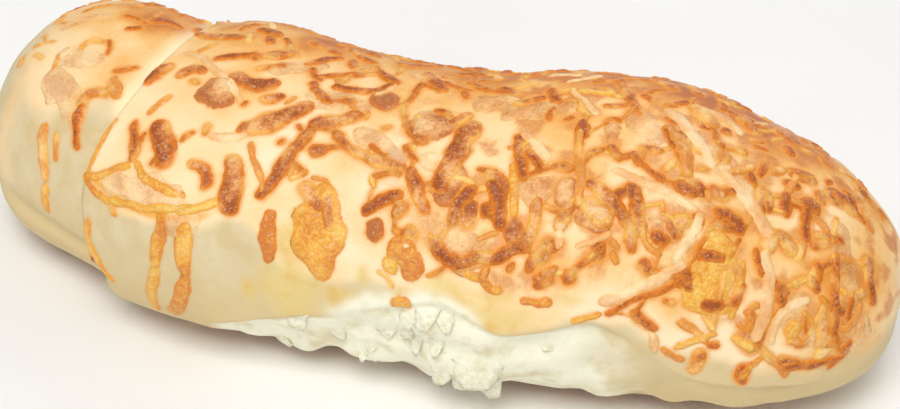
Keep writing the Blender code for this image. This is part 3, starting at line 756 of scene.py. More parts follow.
@dataclass
class LaidTopping:
    """A topping laid on the crust: its grid of points, and the middle line for distances."""

    topping: Topping
    rows: int
    columns: int
    along: Array
    around: Array
    away: Array
    line: Array
    line_radius: Array
    points: Array
    normals: Array

    def near(self, points: Array, reach: float) -> Array:
        """Which of the points may lie within `reach` of it."""
        middle = self.line.mean(axis=0)
        extent = float(np.linalg.norm(self.line - middle, axis=1).max())
        close = np.linalg.norm(points - middle, axis=1) < extent + self.topping.width + reach
        return np.flatnonzero(close)

    def distances(self, points: Array) -> tuple[Array, Array]:
        """How far points are from its middle line.

        Args:
            points: Points on the crust.

        Returns:
            Each point's distance, in shares of the half-width there and in mm past its edge.
        """
        gaps = np.linalg.norm(points[:, None, :] - self.line[None, :, :], axis=2)
        shares = gaps / self.line_radius[None, :]
        nearest = shares.argmin(axis=1)
        share = shares[np.arange(len(points)), nearest]
        return share, (share - 1) * self.line_radius[nearest]


@dataclass(frozen=True)
class ToppingShape:
    """How a topping's section is rounded, sunk and worn, and how finely it is meshed."""

    sunk: float = 0.2
    flat: float = 0.45
    skirt: float = 1.3
    root: float = 0.8
    ring_step: float = 0.55
    column_step: float = 0.42
    end_rings: int = 5
    end_turn: float = 82.0
    fewest_columns: int = 9
    line_step: float = 0.35
    width_varies: float = 0.26
    run_width_varies: float = 0.12
    tapers_from: float = 1.8
    taper: float = 0.14
    wanders: float = 0.5
    edge_varies: float = 0.34
    edge_size: float = 1.7
    bay_varies: float = 0.5
    bay_size: float = 4.5
    grain_height: float = 0.15
    grain_size: float = 1.2
    grain_from: Slope = Slope(0.25, 0.5)
    wave_size: float = 3.2
    stray_size: float = 5.0
    seed_shares: Span = (1.7, 0.9)
    tip_room: float = 0.05
    ride_share: float = 0.85
    ride_reach: float = 0.5

    def lift(self, height: float, away: Array) -> Array:
        """How far the topping stands over the crust, at shares of its half-width from its line."""
        t = np.clip((away - self.flat) / (self.skirt - self.flat), 0, 1)
        return (height + self.sunk) * (1 - t * t * (3 - 2 * t)) - self.sunk

    def lay(self, form: RollForm, topping: Topping) -> LaidTopping:
        """Lays a topping on the crust.

        Args:
            form: The roll.
            topping: What is laid.

        Returns:
            The topping's grid on the crust, before it is raised.
        """
        radius, core = topping.width / 2, topping.core
        steps = max(2, math.ceil(2 * core / self.ring_step))
        turns = np.radians(np.linspace(0, self.end_turn, self.end_rings + 1))
        beyond = np.sin(turns)[1:] * self.skirt * radius
        line_way = np.linspace(-core, core, steps + 1)
        way = np.concatenate((-(core + beyond[::-1]), line_way, core + beyond))
        end = np.clip(np.abs(way) - core, 0, None) / radius
        span = np.sqrt(self.skirt**2 - end**2)
        columns = math.ceil(2 * self.skirt * radius / self.column_step) | 1
        columns = max(self.fewest_columns, columns)
        across = np.linspace(-1, 1, columns)[None, :] * span[:, None]
        along, around, _ = self.places(form, topping, way, across)
        line_way = np.linspace(-core, core, max(3, math.ceil(2 * core / self.line_step)))
        middle = self.places(form, topping, line_way, np.zeros((1, 1)))
        line = form.surface(middle[0][:, 0], middle[1][:, 0])
        points = form.surface(along, around).reshape(-1, 3)
        normals = form.normals(along, around).reshape(-1, 3)
        away = np.sqrt(end[:, None] ** 2 + across**2).reshape(-1)
        return LaidTopping(
            topping, len(way), columns, along.reshape(-1), around.reshape(-1), away,
            line, middle[2], points, normals,
        )

    def places(
        self, form: RollForm, topping: Topping, way: Array, across: Array
    ) -> tuple[Array, Array, Array]:
        """Places on the crust for a topping's grid.

        Args:
            form: The roll.
            topping: The topping.
            way: Millimetres along its middle line.
            across: Shares of its half-width to the side, a row for each of `way` or one for all.

        Returns:
            The grid's `along` and `around`, and the half-width at each of `way`.
        """
        start = math.radians(topping.heading)
        turn = (math.radians(topping.bend) or STRAIGHT) / max(topping.length, 2 * topping.core)
        seed = topping.along * self.seed_shares[0] + topping.around * self.seed_shares[1]
        waves = np.array([noise.noise((w / self.wave_size, seed, 0.0)) for w in way])
        strays = np.array([noise.noise((w / self.stray_size, seed, 9.0)) for w in way])
        tapered = topping.length > self.tapers_from * topping.width
        reach = np.clip(np.abs(way) / topping.core, 0, 1) * tapered
        soft = topping.kind in (Kind.MELTED, Kind.PALE)
        varies = self.run_width_varies if soft else self.width_varies
        radius = topping.width / 2 * (1 + varies * waves) * (1 - self.taper * reach**3)
        heading = start + turn * way
        u = (np.sin(heading) - math.sin(start)) / turn - np.sin(heading) * strays * self.wanders
        v = (math.cos(start) - np.cos(heading)) / turn + np.cos(heading) * strays * self.wanders
        offset = across * radius[:, None]
        per_along, per_degree = form.spread(topping.along, topping.around)
        along = topping.along + (u[:, None] - np.sin(heading)[:, None] * offset) / per_along
        around = topping.around + (v[:, None] + np.cos(heading)[:, None] * offset) / per_degree
        along = np.clip(along, form.left_end + self.tip_room, form.right_end - self.tip_room)
        return along, around, radius

    def ragged(self, points: Array, radius: float) -> Array:
        """How much nearer or farther a topping's edge is at points, in shares of its half-width."""
        fine = self.edge_varies * noise_over(points, self.edge_size) * min(1.0, 1 / radius)
        bays = self.bay_varies * noise_over(points + 5.0, self.bay_size) * min(1.0, radius / 3)
        return fine + bays

    def raised(self, laid: LaidTopping, below: list[LaidTopping]) -> tuple[Array, Array]:
        """Raises a topping over the crust and over what it crosses.

        Args:
            laid: The topping.
            below: The toppings that lie under it.

        Returns:
            Its points, and for each how far inside its edge it is, in millimetres.
        """
        ride = np.zeros(len(laid.points))
        for other in below:
            near = other.near(laid.points, self.ride_reach)
            if len(near):
                share, _ = other.distances(laid.points[near])
                ride[near] = np.maximum(ride[near], self.lift(other.topping.height, share))
        radius = laid.topping.width / 2
        away = laid.away + self.ragged(laid.points, radius)
        coarse = noise_over(laid.points + 31.0, self.grain_size)
        worn = self.grain_height * coarse * self.grain_from(1 - away)
        lift = self.lift(laid.topping.height, away) + worn
        lift = lift + self.ride_share * np.clip(ride, 0, None)
        return laid.points + laid.normals * lift[:, None], (1 - away) * radius

    def faces(self, laid: LaidTopping, first: int) -> Faces:
        """Faces of a raised topping, closed underneath by one row of roots.

        Args:
            laid: The topping.
            first: The number of its first point; its roots follow its grid.

        Returns:
            The faces, as numbers of points.
        """
        rows, columns = laid.rows, laid.columns
        roots = first + rows * columns
        made = grid_faces(rows, columns, first)
        for row in range(rows - 1):
            left, right = first + row * columns, first + (row + 1) * columns - 1
            made.append((left + columns, roots + row + 1, roots + row, left))
            made.append((right, roots + row, roots + row + 1, right + columns))
        last = first + (rows - 1) * columns
        made.append((*reversed(range(first, first + columns)), roots))
        made.append((*range(last, last + columns), roots + rows - 1))
        return made

    def roots(self, laid: LaidTopping) -> tuple[Array, Array]:
        """The points under a topping's middle line that close it, and the grid points over them."""
        middle = np.arange(laid.rows) * laid.columns + laid.columns // 2
        return laid.points[middle] - laid.normals[middle] * self.root, middle


# How strongly each kind browns the crust beside it.
HALO_STRENGTH = {
    Kind.BROWNED: 1.0,
    Kind.GOLDEN: 0.6,
    Kind.PALE: 0.3,
    Kind.MELTED: 0.5,
    Kind.CRUSTY: 0.8,
    Kind.SHEET: 0.25,
}


@dataclass(frozen=True)
class Ground:
    """Places on the crust, with how ragged its zones are and how near the ends and the tray."""

    along: Array
    around: Array
    points: Array
    ragged: Array
    outer: Array
    edge: Array
    pole: Array
    near_tray: Array


@dataclass(frozen=True)
class CrustPainter:
    """Says how baked, doughy or torn each place of the crust is, and how toppings mark it."""

    shape: ToppingShape = ToppingShape()
    # where the cheese ends: around, on the front of the outer layer and of the inner roll
    edge_stations: Row = (
        -49, -44, -36, -28, -22, -18, -15, -12, -6, 0, 12,
        18, 24, 36, 47, 54, 60, 65, 71, 78, 88, 95,
    )
    edge_degrees: Row = (
        62, 66, 68, 65, 60, 64, 76, 81, 80, 77, 76,
        76, 84, 84, 78, 82, 88, 87, 89, 89, 90, 94,
    )
    inner_stations: Row = (-93, -85, -77, -69, -64, -58, -52)
    inner_degrees: Row = (5, 21, 38, 47, 40, 32, 32)
    ragged_layers: Rows = ((5.0, 9.0, 0.0), (2.5, 3.5, 0.0))
    front_ragged: float = 0.6
    front_fade: float = 6.0
    inner_fade: float = 12.0
    back_edge: float = -104.0
    back_ragged: float = 2.0
    back_fade: float = 12.0
    end_pale_at: float = -83.0
    end_ragged: float = 0.5
    end_fade: float = 6.0
    # near the ends the turns run together, so there the height over the tray settles how pale it is
    right_pole: Slope = Slope(78.0, 13.0)
    left_pole: Slope = Slope(-80.0, 10.0, -1)
    tray_height: float = 16.0
    tray_ragged: float = 0.8
    tray_slope: Slope = Slope(-3.0, 7.0)
    # painted shade: how far the dough darkens towards the tray, fading in below about 21 mm, for
    # the shade low on the roll
    low: Slope = Slope(21.0, 18.0, -1)
    # crumb that spills over the edge of the tear, and where it gives way to crust at the right
    spilt_over: float = 5.5
    spilt_ragged: float = 0.8
    spilt_fade: float = 8.0
    spilt_foot: Slope = Slope(148.0, 18.0, -1)
    spilt_right: Slope = Slope(26.0, 8.0, -1, 0.8)
    spilt_left: Slope = Slope(-4.0, 12.0)
    crumb_ends: Slope = Slope(48.0, 36.0)
    # how golden the bare crust is: over all, in patches, and towards the back and the ends
    gold_everywhere: float = 0.25
    gold_layers: Rows = ((0.26, 15.0, 50.0), (0.18, 6.0, 0.0))
    back_gold: Slope = Slope(6.0, 44.0, -1, 0.22)
    far_back_gold: Slope = Slope(-18.0, 26.0, -1, 0.3)
    far_back_right: Slope = Slope(0.0, 60.0)
    right_gold: Slope = Slope(46.0, 50.0, 1, 0.04)
    right_tip_gold: Slope = Slope(85.0, 16.0, 1, 0.12)
    left_gold: Slope = Slope(-55.0, 10.0, -1, 0.06)
    pole_gold: float = 0.12
    crown_gold: tuple[float, float, float] = (0.16, -30.0, 26.0)
    middle_pale: float = 0.06
    middle_pale_at: tuple[float, float, float, float] = (0.0, 30.0, 40.0, 30.0)
    ledge_pale: Slope = Slope(40.0, 14.0, 1, 0.35)
    # the browned band and the ledge just over the cheese's front edge
    band_over: float = 3.0
    band_reach: float = 2.2
    band_from: Slope = Slope(-26.0, 6.0, -1)
    band_strength: float = 0.8
    ledge_over: float = 5.0
    ledge_reach: float = 7.0
    ledge_film: Slope = Slope(14.0, 8.0, 1, 0.7)
    ledge_film_ends: Slope = Slope(36.0, 14.0, 1, 0.8)
    # the sole, which was pressed on the tray, and the pale groove beside the lap
    sole_around: Slope = Slope(120.0, 20.0)
    sole_height: float = 3.4
    sole_ragged: float = 0.2
    sole_fade: float = 2.6
    sole_under_crumb: float = 0.8
    groove_behind: float = 2.0
    groove_reach: float = 2.2
    groove_around: Slope = Slope(40.0, 30.0, -1)
    groove_end: float = 0.6
    # the soft net of thin browned cheese
    net_everywhere: float = 0.1
    net_right: Slope = Slope(4.0, 40.0, 1, 0.68)
    net_back: Slope = Slope(-4.0, 20.0, -1, 0.2)
    net_far_back: Slope = Slope(-30.0, 20.0, -1, 0.5)
    net_layers: Rows = ((1.0, 4.2, 90.0), (0.35, 1.8, 70.0))
    net_slope: Slope = Slope(0.02, 0.62)
    net_over: float = 14.0
    net_fade: float = 12.0
    # where the cheese melted to a yellow film: along, around, reach along, reach around, strength
    films: Rows = (
        (-11, 84, 8.0, 15, 0.8), (-2, 84, 7.0, 9, 0.6), (-19, 88, 2.2, 8, 0.6),
        (-12.5, 66, 3.5, 10, 0.7), (11, 79, 4.5, 6, 0.8), (19, 74, 6.0, 6, 0.7),
        (3, 73, 2.5, 5, 0.7), (24, 50, 2.6, 7, 0.75), (64, 52, 5.0, 11, 0.5), (56, 86, 9.0, 5, 0.3),
        (28, 73, 6.0, 4, 0.6), (40, 72, 6.0, 4, 0.5), (50, 73, 4.0, 3, 0.4),
    )
    halo_reach: float = 0.65
    glow_reach: float = 3.0
    glow_share: float = 0.4

    def ground(self, form: RollForm, along: Array, around: Array, points: Array) -> Ground:
        """What the zones need to know about places on the crust.

        Args:
            form: The roll.
            along: Millimetres along it.
            around: Degrees around it, in any turn.
            points: The points there.

        Returns:
            The places.
        """
        outer = along >= form.lap_at
        edge = np.where(
            outer,
            smooth_between(self.edge_stations, self.edge_degrees, along),
            smooth_between(self.inner_stations, self.inner_degrees, along),
        )
        ragged = layers_over(points, self.ragged_layers)
        pole = np.maximum(self.right_pole(along), self.left_pole(along))
        near_tray = self.tray_slope(self.tray_height + self.tray_ragged * ragged - points[..., 2])
        return Ground(along, turned(around, 0), points, ragged, outer, edge, pole, near_tray)

    def dough(self, at: Ground) -> Array:
        """How much pale dough shows: below the cheese, low on the back and at the left end."""
        front = np.where(
            at.outer,
            fade(at.around, at.edge + at.ragged * self.front_ragged, self.front_fade),
            fade(at.around, at.edge + at.ragged, self.inner_fade),
        )
        back = fade(-at.around, -self.back_edge + self.back_ragged * at.ragged, self.back_fade)
        end = fade(-at.along, -self.end_pale_at + self.end_ragged * at.ragged, self.end_fade)
        dough = 1 - (1 - front * (at.around > 0)) * (1 - back * (at.around < 0))
        return 1 - (1 - dough * (1 - at.pole) - at.near_tray * at.pole) * (1 - end)

    def crumb(self, form: RollForm, at: Ground) -> Array:
        """How much torn crumb shows, in the tear and spilt over its edge."""
        top = smooth_between(form.tear_stations, form.tear_tops, at.along)
        top = top - self.spilt_over + self.spilt_ragged * at.ragged
        over = fade(at.around, top, self.spilt_fade)
        spilt = form.tear_ends(at.along) * over * self.spilt_foot(at.around)
        spilt = spilt * self.spilt_right(at.along) * self.spilt_left(at.along + 0.5 * at.ragged)
        crumb = np.maximum(form.tear_share(at.along, at.around), spilt)
        return crumb * (1 - self.crumb_ends(at.along + at.ragged))

    def gold(self, at: Ground, ledge: Array) -> Array:
        """How golden the bare crust is."""
        body = 1 - at.pole
        share, crown, reach = self.crown_gold
        middle, middle_reach, side, side_reach = self.middle_pale_at
        far_back = self.far_back_gold(at.around) * self.far_back_right(at.along)
        pale = hump(at.along, middle, middle_reach) * hump(at.around, side, side_reach)
        gold = self.gold_everywhere + layers_over(at.points, self.gold_layers)
        gold = gold + (self.back_gold(at.around) + far_back) * body
        gold = gold + self.right_gold(at.along) + self.right_tip_gold(at.along)
        gold = gold + self.left_gold(at.along) + self.pole_gold * at.pole
        gold = gold + share * hump(at.around, crown, reach) * body - self.middle_pale * pale
        return gold - ledge * self.ledge_pale(at.along) * (at.around > 0)

    def film(self, at: Ground, ledge: Array) -> Array:
        """How much of a yellow film of melted cheese there is."""
        along = at.along
        film = ledge * self.ledge_film(along) * (1 - self.ledge_film_ends(along))
        for middle, side, reach, side_reach, strength in self.films:
            here = hump(along, middle, reach) * hump(at.around, side, side_reach)
            film = np.maximum(film, strength * here)
        return film

    def net(self, at: Ground) -> Array:
        """How much of a soft net of thin browned cheese there is."""
        front = fade(at.around, at.edge - self.net_over, self.net_fade) * (at.around > 0)
        net = self.net_everywhere + self.net_right(at.along) + self.net_back(at.around)
        net = net * self.net_slope(layers_over(at.points, self.net_layers))
        net = net * (1 - front * (1 - at.pole)) * (1 - self.net_far_back(at.around))
        return net * (1 - at.near_tray * at.pole)

    def sole(self, at: Ground, crumb: Array) -> Array:
        """How much of the browned sole shows."""
        near = self.sole_height + self.sole_ragged * at.ragged - at.points[..., 2]
        under = self.sole_around(np.abs(at.around)) * (1 - self.sole_under_crumb * crumb)
        return under * fade(near, 0.0, self.sole_fade)

    def groove(self, form: RollForm, at: Ground) -> Array:
        """How much of the pale groove beside the lap shows."""
        beside = hump(at.along, form.lap_at - self.groove_behind, self.groove_reach)
        return beside * self.groove_around(at.around) * (at.along < form.lap_at + self.groove_end)

    def zones(self, form: RollForm, along: Array, around: Array, points: Array) -> Shares:
        """How the crust is baked at each place, before any topping marks it.

        Args:
            form: The roll.
            along: Millimetres along it.
            around: Degrees around it, in any turn.
            points: The points there.

        Returns:
            Shares from 0 to 1 by name: gold, net, dough, low (painted shade), melt, film, crumb,
                sole and groove.
        """
        at = self.ground(form, along, around, points)
        ledge = hump(at.around, at.edge - self.ledge_over, self.ledge_reach) * (1 - at.pole)
        band = hump(at.around, at.edge - self.band_over, self.band_reach) * at.outer
        band = self.band_strength * band * self.band_from(at.along)
        crumb = self.crumb(form, at)
        shares = {
            "gold": self.gold(at, ledge),
            "net": self.net(at),
            "dough": self.dough(at),
            "low": self.low(at.points[..., 2]),
            "melt": band,
            "film": self.film(at, ledge),
            "crumb": crumb,
            "sole": self.sole(at, crumb),
            "groove": self.groove(form, at),
        }
        return {key: np.clip(share, 0, 1) for key, share in shares.items()}

    def marks(self, points: Array, toppings: list[LaidTopping]) -> Shares:
        """How strongly the toppings mark the crust at points.

        Args:
            points: Points on the crust.
            toppings: Everything that lies on it.

        Returns:
            The narrow halo and the wide glow, from 0 to 1.
        """
        halo, glow = np.zeros(len(points)), np.zeros(len(points))
        for laid in toppings:
            near = laid.near(points, 3 * self.glow_reach)
            if not len(near):
                continue
            strength = HALO_STRENGTH[laid.topping.kind]
            share, _ = laid.distances(points[near])
            radius = laid.topping.width / 2
            share = share + self.shape.ragged(points[near], radius)
            beyond = np.clip((share - 1) * radius, 0, None)
            halo[near] = np.maximum(halo[near], strength * np.exp(-beyond / self.halo_reach))
            wide = self.glow_share * strength * np.exp(-beyond / self.glow_reach)
            glow[near] = 1 - (1 - glow[near]) * (1 - wide)
        return {"halo": halo, "glow": glow}


def object_from(name: str, points: Array, faces: Faces, shares: Shares) -> Object:
    """A smooth mesh object that carries a value for each point by name.

    Args:
        name: The object's name.
        points: Its points, in millimetres.
        faces: Its faces, as numbers of points.
        shares: Values for the points, by attribute name.

    Returns:
        The object, linked to the scene.
    """
    mesh = bpy.data.meshes.new(name)
    mesh.from_pydata((points * MM).tolist(), [], faces)
    for key, values in shares.items():
        layer = mesh.attributes.new(key, "FLOAT", "POINT")
        layer.data.foreach_set("value", np.ascontiguousarray(values, np.float32))
    mesh.shade_smooth()
    made = bpy.data.objects.new(name, mesh)
    bpy.context.scene.collection.objects.link(made)
    return made


@dataclass
class DoughBody:
    """The roll itself, finely meshed, with how it is baked stored on its points."""

    form: RollForm
    painter: CrustPainter
    rings: int = 324
    fine_step: float = 0.95
    coarse_step: float = 3.2
    fine_around: Span = (-112.0, 142.0)
    tip_room: float = 0.7
    measured_around: float = 40.0
    measured_places: int = 4001

    def ring_places(self) -> Array:
        """Where the rings stand, evenly spaced over the crust from end to end."""
        form = self.form
        share = 0.5 - 0.5 * np.cos(np.linspace(0, 1, self.measured_places) * math.pi)
        along = form.left_end + (form.right_end - form.left_end) * share
        steps = np.diff(form.bare(along, self.measured_around), axis=0)
        travelled = np.concatenate(([0.0], np.cumsum(np.linalg.norm(steps, axis=1))))
        places = np.linspace(self.tip_room, travelled[-1] - self.tip_room, self.rings)
        return np.interp(places, travelled, along)

    def side_places(self) -> Array:
        """Degrees around of each ring's points, closer set where the roll is seen."""
        start, stop = self.fine_around
        fine = np.arange(start, stop, self.fine_step)
        count = round((start + 360 - stop) / self.coarse_step)
        coarse = np.linspace(stop, start + 360, count, endpoint=False)
        return np.concatenate((fine, coarse))

    def build(self, toppings: list[LaidTopping]) -> Object:
        """Builds the roll's mesh.

        Args:
            toppings: What lies on it and marks it.

        Returns:
            The roll's object.
        """
        along, around = np.meshgrid(self.ring_places(), self.side_places(), indexing="ij")
        rings, sides = along.shape
        along, around = along.reshape(-1), around.reshape(-1)
        points = self.form.surface(along, around)
        tips = [points[:sides].mean(axis=0), points[-sides:].mean(axis=0)]
        shares = self.painter.zones(self.form, along, around, points)
        shares |= self.painter.marks(points, toppings)
        for key, value in shares.items():
            shares[key] = np.append(value, (value[:sides].mean(), value[-sides:].mean()))
        faces = [
            (
                ring * sides + (side + 1) % sides,
                ring * sides + side,
                (ring + 1) * sides + side,
                (ring + 1) * sides + (side + 1) % sides,
            )
            for ring in range(rings - 1)
            for side in range(sides)
        ]
        left, right, last = rings * sides, rings * sides + 1, (rings - 1) * sides
        for side in range(sides):
            beside = (side + 1) % sides
            faces.append((side, beside, left))
            faces.append((last + beside, last + side, right))
        return object_from("roll_crust", np.concatenate((points, tips)), faces, shares)


@dataclass
class ToppingLayer:
    """All the toppings of one kind, joined into one piece."""

    kind: Kind
    form: RollForm
    shape: ToppingShape
    painter: CrustPainter
    uneven_layers: Rows = ((0.8, 4.2, 12.0), (0.3, 1.3, 0.0))
    melted_unevenness: float = 0.5

    def build(self, toppings: list[LaidTopping]) -> Object:
        """Builds the layer.

        Args:
            toppings: Every topping, in the order in which they lie on each other.

        Returns:
            The layer's object.
        """
        points, faces, inside, toast, places = [], [], [], [], []
        first = 0
        for index, laid in enumerate(toppings):
            if laid.topping.kind is not self.kind:
                continue
            raised, depth = self.shape.raised(laid, toppings[:index])
            roots, under = self.shape.roots(laid)
            uneven = layers_over(laid.points, self.uneven_layers)
            if self.kind is Kind.MELTED:
                uneven = self.melted_unevenness * uneven
            level = np.clip(laid.topping.toast + uneven, 0, 1)
            faces += self.shape.faces(laid, first)
            points += [raised, roots]
            inside += [depth, depth[under]]
            toast += [level, level[under]]
            places += [
                np.stack((laid.along, laid.around), axis=1),
                np.stack((laid.along[under], laid.around[under]), axis=1),
            ]
            first += len(raised) + len(roots)
        everywhere = np.concatenate(points)
        along, around = np.concatenate(places).T
        crust = self.form.surface(along, around)
        shares = self.painter.zones(self.form, along, around, crust)
        shares |= self.painter.marks(crust, toppings)
        shares |= {"inside": np.concatenate(inside), "toast": np.concatenate(toast)}
        return object_from(self.kind.value, everywhere, faces, shares)


# Torn crumb drawn out of the roll: along, around, heading, length, width, lift of the tip, curl.
FLAKES: Rows = (
    (-10, 97, 80, 6, 5.0, 0.4, 0.3), (-3, 104, 60, 5, 4.0, 0.3, 0.4),
    (2, 114, 95, 3.5, 2.2, 0.9, 0.2), (12.5, 85, 95, 5, 4.4, 0.5, 0.3),
    (15.8, 84, 90, 5, 4.6, 0.6, 0.4), (19, 85, 75, 5, 4.0, 0.5, 0.4),
    (13.5, 95, 92, 8.5, 3.6, 1.0, 0.15), (17, 94, 88, 7, 3.8, 1.0, 0.15),
    (18, 112, 110, 5, 4.0, 2.0, 0.3), (21, 118, 95, 4, 3.4, 1.2, 0.4),
    (24.5, 108, 88, 6.5, 9.0, 1.2, 0.3), (27, 114, 75, 7, 6.0, 2.8, 0.2),
)


@dataclass
class TornCrumb:
    """Flakes and tufts of white crumb that stand out of the tear."""

    form: RollForm
    painter: CrustPainter
    seed: int = 5
    tufts: int = 12
    rows: int = 9
    columns: int = 7
    sunk: float = 1.5
    root_thickness: float = 1.6
    tip_thickness: float = 0.35
    edge_thickness: float = 0.12
    side_ways: Span = (2.4, 1.7)
    side_seed: Span = (0.37, 0.11)
    side_ragged: float = 0.5
    side_shorter: float = 0.22
    side_thinner: float = 0.75
    tip_narrower: float = 0.62
    narrows_late: float = 1.8
    rises_late: float = 1.5
    tuft_below: float = 2.0
    tuft_spread: float = 34.0
    tuft_jitter: float = 4.0
    tuft_lowest: float = 126.0
    tuft_lengths: Span = (2.6, 5.0)
    tuft_widths: Span = (2.2, 4.2)
    tuft_lifts: Span = (-0.2, 0.4)
    tuft_curls: Span = (0.0, 0.5)
    tuft_turns: Span = (-60, 60)
    rough_layers: Rows = ((0.25, 2.2, 0.0), (0.08, 1.0, 7.0))

    def strewn(self) -> list[Row]:
        """Small tufts spread along the tear, closer together where it is roughest."""
        draw = random.Random(self.seed)
        rows = []
        for index in range(self.tufts):
            share = (index + 0.5) / self.tufts
            along = self.form.tear_roughest + self.tuft_spread * (2 * share - 1) ** 3
            along += draw.uniform(-self.tuft_jitter, self.tuft_jitter)
            form, at = self.form, np.array(along)
            top = float(smooth_between(form.tear_stations, form.tear_tops, at))
            around = draw.uniform(top + self.tuft_below, self.tuft_lowest)
            length, width = draw.uniform(*self.tuft_lengths), draw.uniform(*self.tuft_widths)
            lift, curl = draw.uniform(*self.tuft_lifts), draw.uniform(*self.tuft_curls)
            heading = 90 + draw.uniform(*self.tuft_turns)
            rows.append((along, around, heading, length, width, lift, curl))
        return rows

    def flake(self, row: Row) -> tuple[Array, Array, Array]:
        """One flake: rooted in the tear, ragged, thinning and lifting towards its tip.

        Args:
            row: Its place, heading, size, lift and curl.

        Returns:
            Its upper points, its lower points, and `along` and `around` of each.
        """
        along, around, heading, length, width, lift, curl = row
        s = np.linspace(0, 1, self.rows)[:, None]
        t = np.linspace(-1, 1, self.columns)[None, :]
        seed = along * self.side_seed[0] + around * self.side_seed[1]
        down, side = self.side_ways
        edge = np.array(
            [[noise.noise((a * down, b * side, seed)) for b in (-1.0, 1.0)] for a in s[:, 0]]
        )
        out = np.where(t < 0, edge[:, :1], edge[:, 1:])
        half = width / 2 * (1 - self.tip_narrower * s**self.narrows_late)
        half = half * (1 + self.side_ragged * out)
        ahead = length * (s - 0.5) * (1 - self.side_shorter * t**2)
        way = math.radians(heading)
        per_along, per_degree = self.form.spread(along, around)
        u = ahead * math.cos(way) - half * t * math.sin(way)
        v = ahead * math.sin(way) + half * t * math.cos(way)
        place_along, place_around = along + u / per_along, around + v / per_degree
        ground = self.form.surface(place_along, place_around)
        normals = self.form.normals(place_along, place_around)
        rise = lift * s**2 - self.sunk * (1 - s) ** self.rises_late + curl * t**2 * half
        rough = layers_over(ground, self.rough_layers)
        thick = self.tip_thickness + (self.root_thickness - self.tip_thickness) * (1 - s)
        thick = thick * (1 - self.side_thinner * t**2) + self.edge_thickness
        middle = ground + normals * (rise + rough)[..., None]
        upper = middle + normals * (thick / 2)[..., None]
        lower = middle - normals * (thick / 2)[..., None]
        places = np.stack((place_along, place_around), axis=-1).reshape(-1, 2)
        return upper.reshape(-1, 3), lower.reshape(-1, 3), places

    def faces(self, first: int) -> Faces:
        """Faces of one flake, with its upper points first and its lower points after them."""
        rows, columns = self.rows, self.columns
        lower = first + rows * columns
        made = grid_faces(rows, columns, first) + grid_faces(rows, columns, lower, under=True)
        rim = list(range(columns))
        rim += [row * columns + columns - 1 for row in range(1, rows)]
        rim += [(rows - 1) * columns + column for column in range(columns - 2, -1, -1)]
        rim += [row * columns for row in range(rows - 2, 0, -1)]
        for here, there in zip(rim, rim[1:] + rim[:1]):
            made.append((first + there, first + here, lower + here, lower + there))
        return made

    def build(self) -> Object:
        """Builds all the flakes and tufts as one piece."""
        points, faces, places = [], [], []
        for index, row in enumerate((*FLAKES, *self.strewn())):
            upper, lower, place = self.flake(row)
            faces += self.faces(2 * index * len(upper))
            points += [upper, lower]
            places += [place, place]
        along, around = np.concatenate(places).T
        ground = self.form.surface(along, around)
        shares = self.painter.zones(self.form, along, around, ground)
        return object_from("torn_crumb_flakes", np.concatenate(points), faces, shares)


class Graph:
    """Makes and links the nodes of one material or one shader group."""

    def __init__(self, tree: Tree) -> None:
        """Starts an empty graph in a node tree."""
        self.tree = tree
        tree.nodes.clear()

    def feed(self, socket: Socket, value: object) -> None:
        """Links a socket to an input, or sets the input to a plain value."""
        if isinstance(value, Socket):
            self.tree.links.new(value, socket)
        else:
            socket.default_value = value

    def node(
        self, kind: str, inputs: dict[str | int, object] | None = None, **settings: object
    ) -> Node:
        """Makes a node.

        Args:
            kind: Its Blender type.
            inputs: Sockets or values for its inputs, by name or number.
            **settings: Its own properties.

        Returns:
            The node.
        """
        made = self.tree.nodes.new(kind)
        for key, value in settings.items():
            setattr(made, key, value)
        for key, value in (inputs or {}).items():
            self.feed(made.inputs[key], value)
        return made

    def math(
        self, operation: str, first: object, second: object = 0.0, clamp: bool = False
    ) -> Socket:
        """One sum on two values."""
        settings = {"operation": operation, "use_clamp": clamp}
        return self.node("ShaderNodeMath", {0: first, 1: second}, **settings).outputs[0]

    def scaled(self, value: object, scale: float, lift: object) -> Socket:
        """A value times a scale, plus a lift."""
        made = self.node("ShaderNodeMath", {0: value, 1: scale, 2: lift}, operation="MULTIPLY_ADD")
        return made.outputs[0]

    def mix(self, share: object, first: object, second: object) -> Socket:
        """A colour between two."""
        inputs = {0: share, 6: first, 7: second}
        return self.node("ShaderNodeMix", inputs, data_type="RGBA").outputs[2]

    def smooth(self, value: object, low: object, high: object) -> Socket:
        """0 below low, 1 above high and smooth between."""
        inputs = {"Value": value, "From Min": low, "From Max": high}
        return self.node("ShaderNodeMapRange", inputs, interpolation_type="SMOOTHSTEP").outputs[0]

    def noise(self, where: Socket, size: float, detail: float = 2.0, lift: float = 0.5) -> Socket:
        """Noise between 0 and 1 with features of a size in millimetres."""
        inputs = {"Vector": where, "Scale": 1 / (size * MM), "Detail": detail, "Roughness": lift}
        return self.node("ShaderNodeTexNoise", inputs).outputs["Fac"]

    def cells(self, where: Socket, size: float, feature: str = "SMOOTH_F1") -> Socket:
        """Distance to the nearest of points strewn this many millimetres apart."""
        inputs = {"Vector": where, "Scale": 1 / (size * MM)}
        return self.node("ShaderNodeTexVoronoi", inputs, feature=feature).outputs["Distance"]

    def share(self, name: str) -> Socket:
        """A value that the mesh carries for each of its points."""
        return self.node("ShaderNodeAttribute", attribute_name=name).outputs["Fac"]

    def ramp(self, value: object, stops: Stops) -> Socket:
        """A colour read from a row of colours."""
        made = self.node("ShaderNodeValToRGB", {0: value})
        elements = made.color_ramp.elements
        for _ in stops[len(elements):]:
            elements.new(0.5)
        for element, (place, colour) in zip(elements, stops):
            element.position = place
            element.color = colour
        return made.outputs[0]

    def place(self, group: Tree, inputs: dict[str, object]) -> Node:
        """Places a shader group with its own values."""
        made = self.tree.nodes.new("ShaderNodeGroup")
        made.node_tree = group
        for key, value in inputs.items():
            self.feed(made.inputs[key], value)
        return made


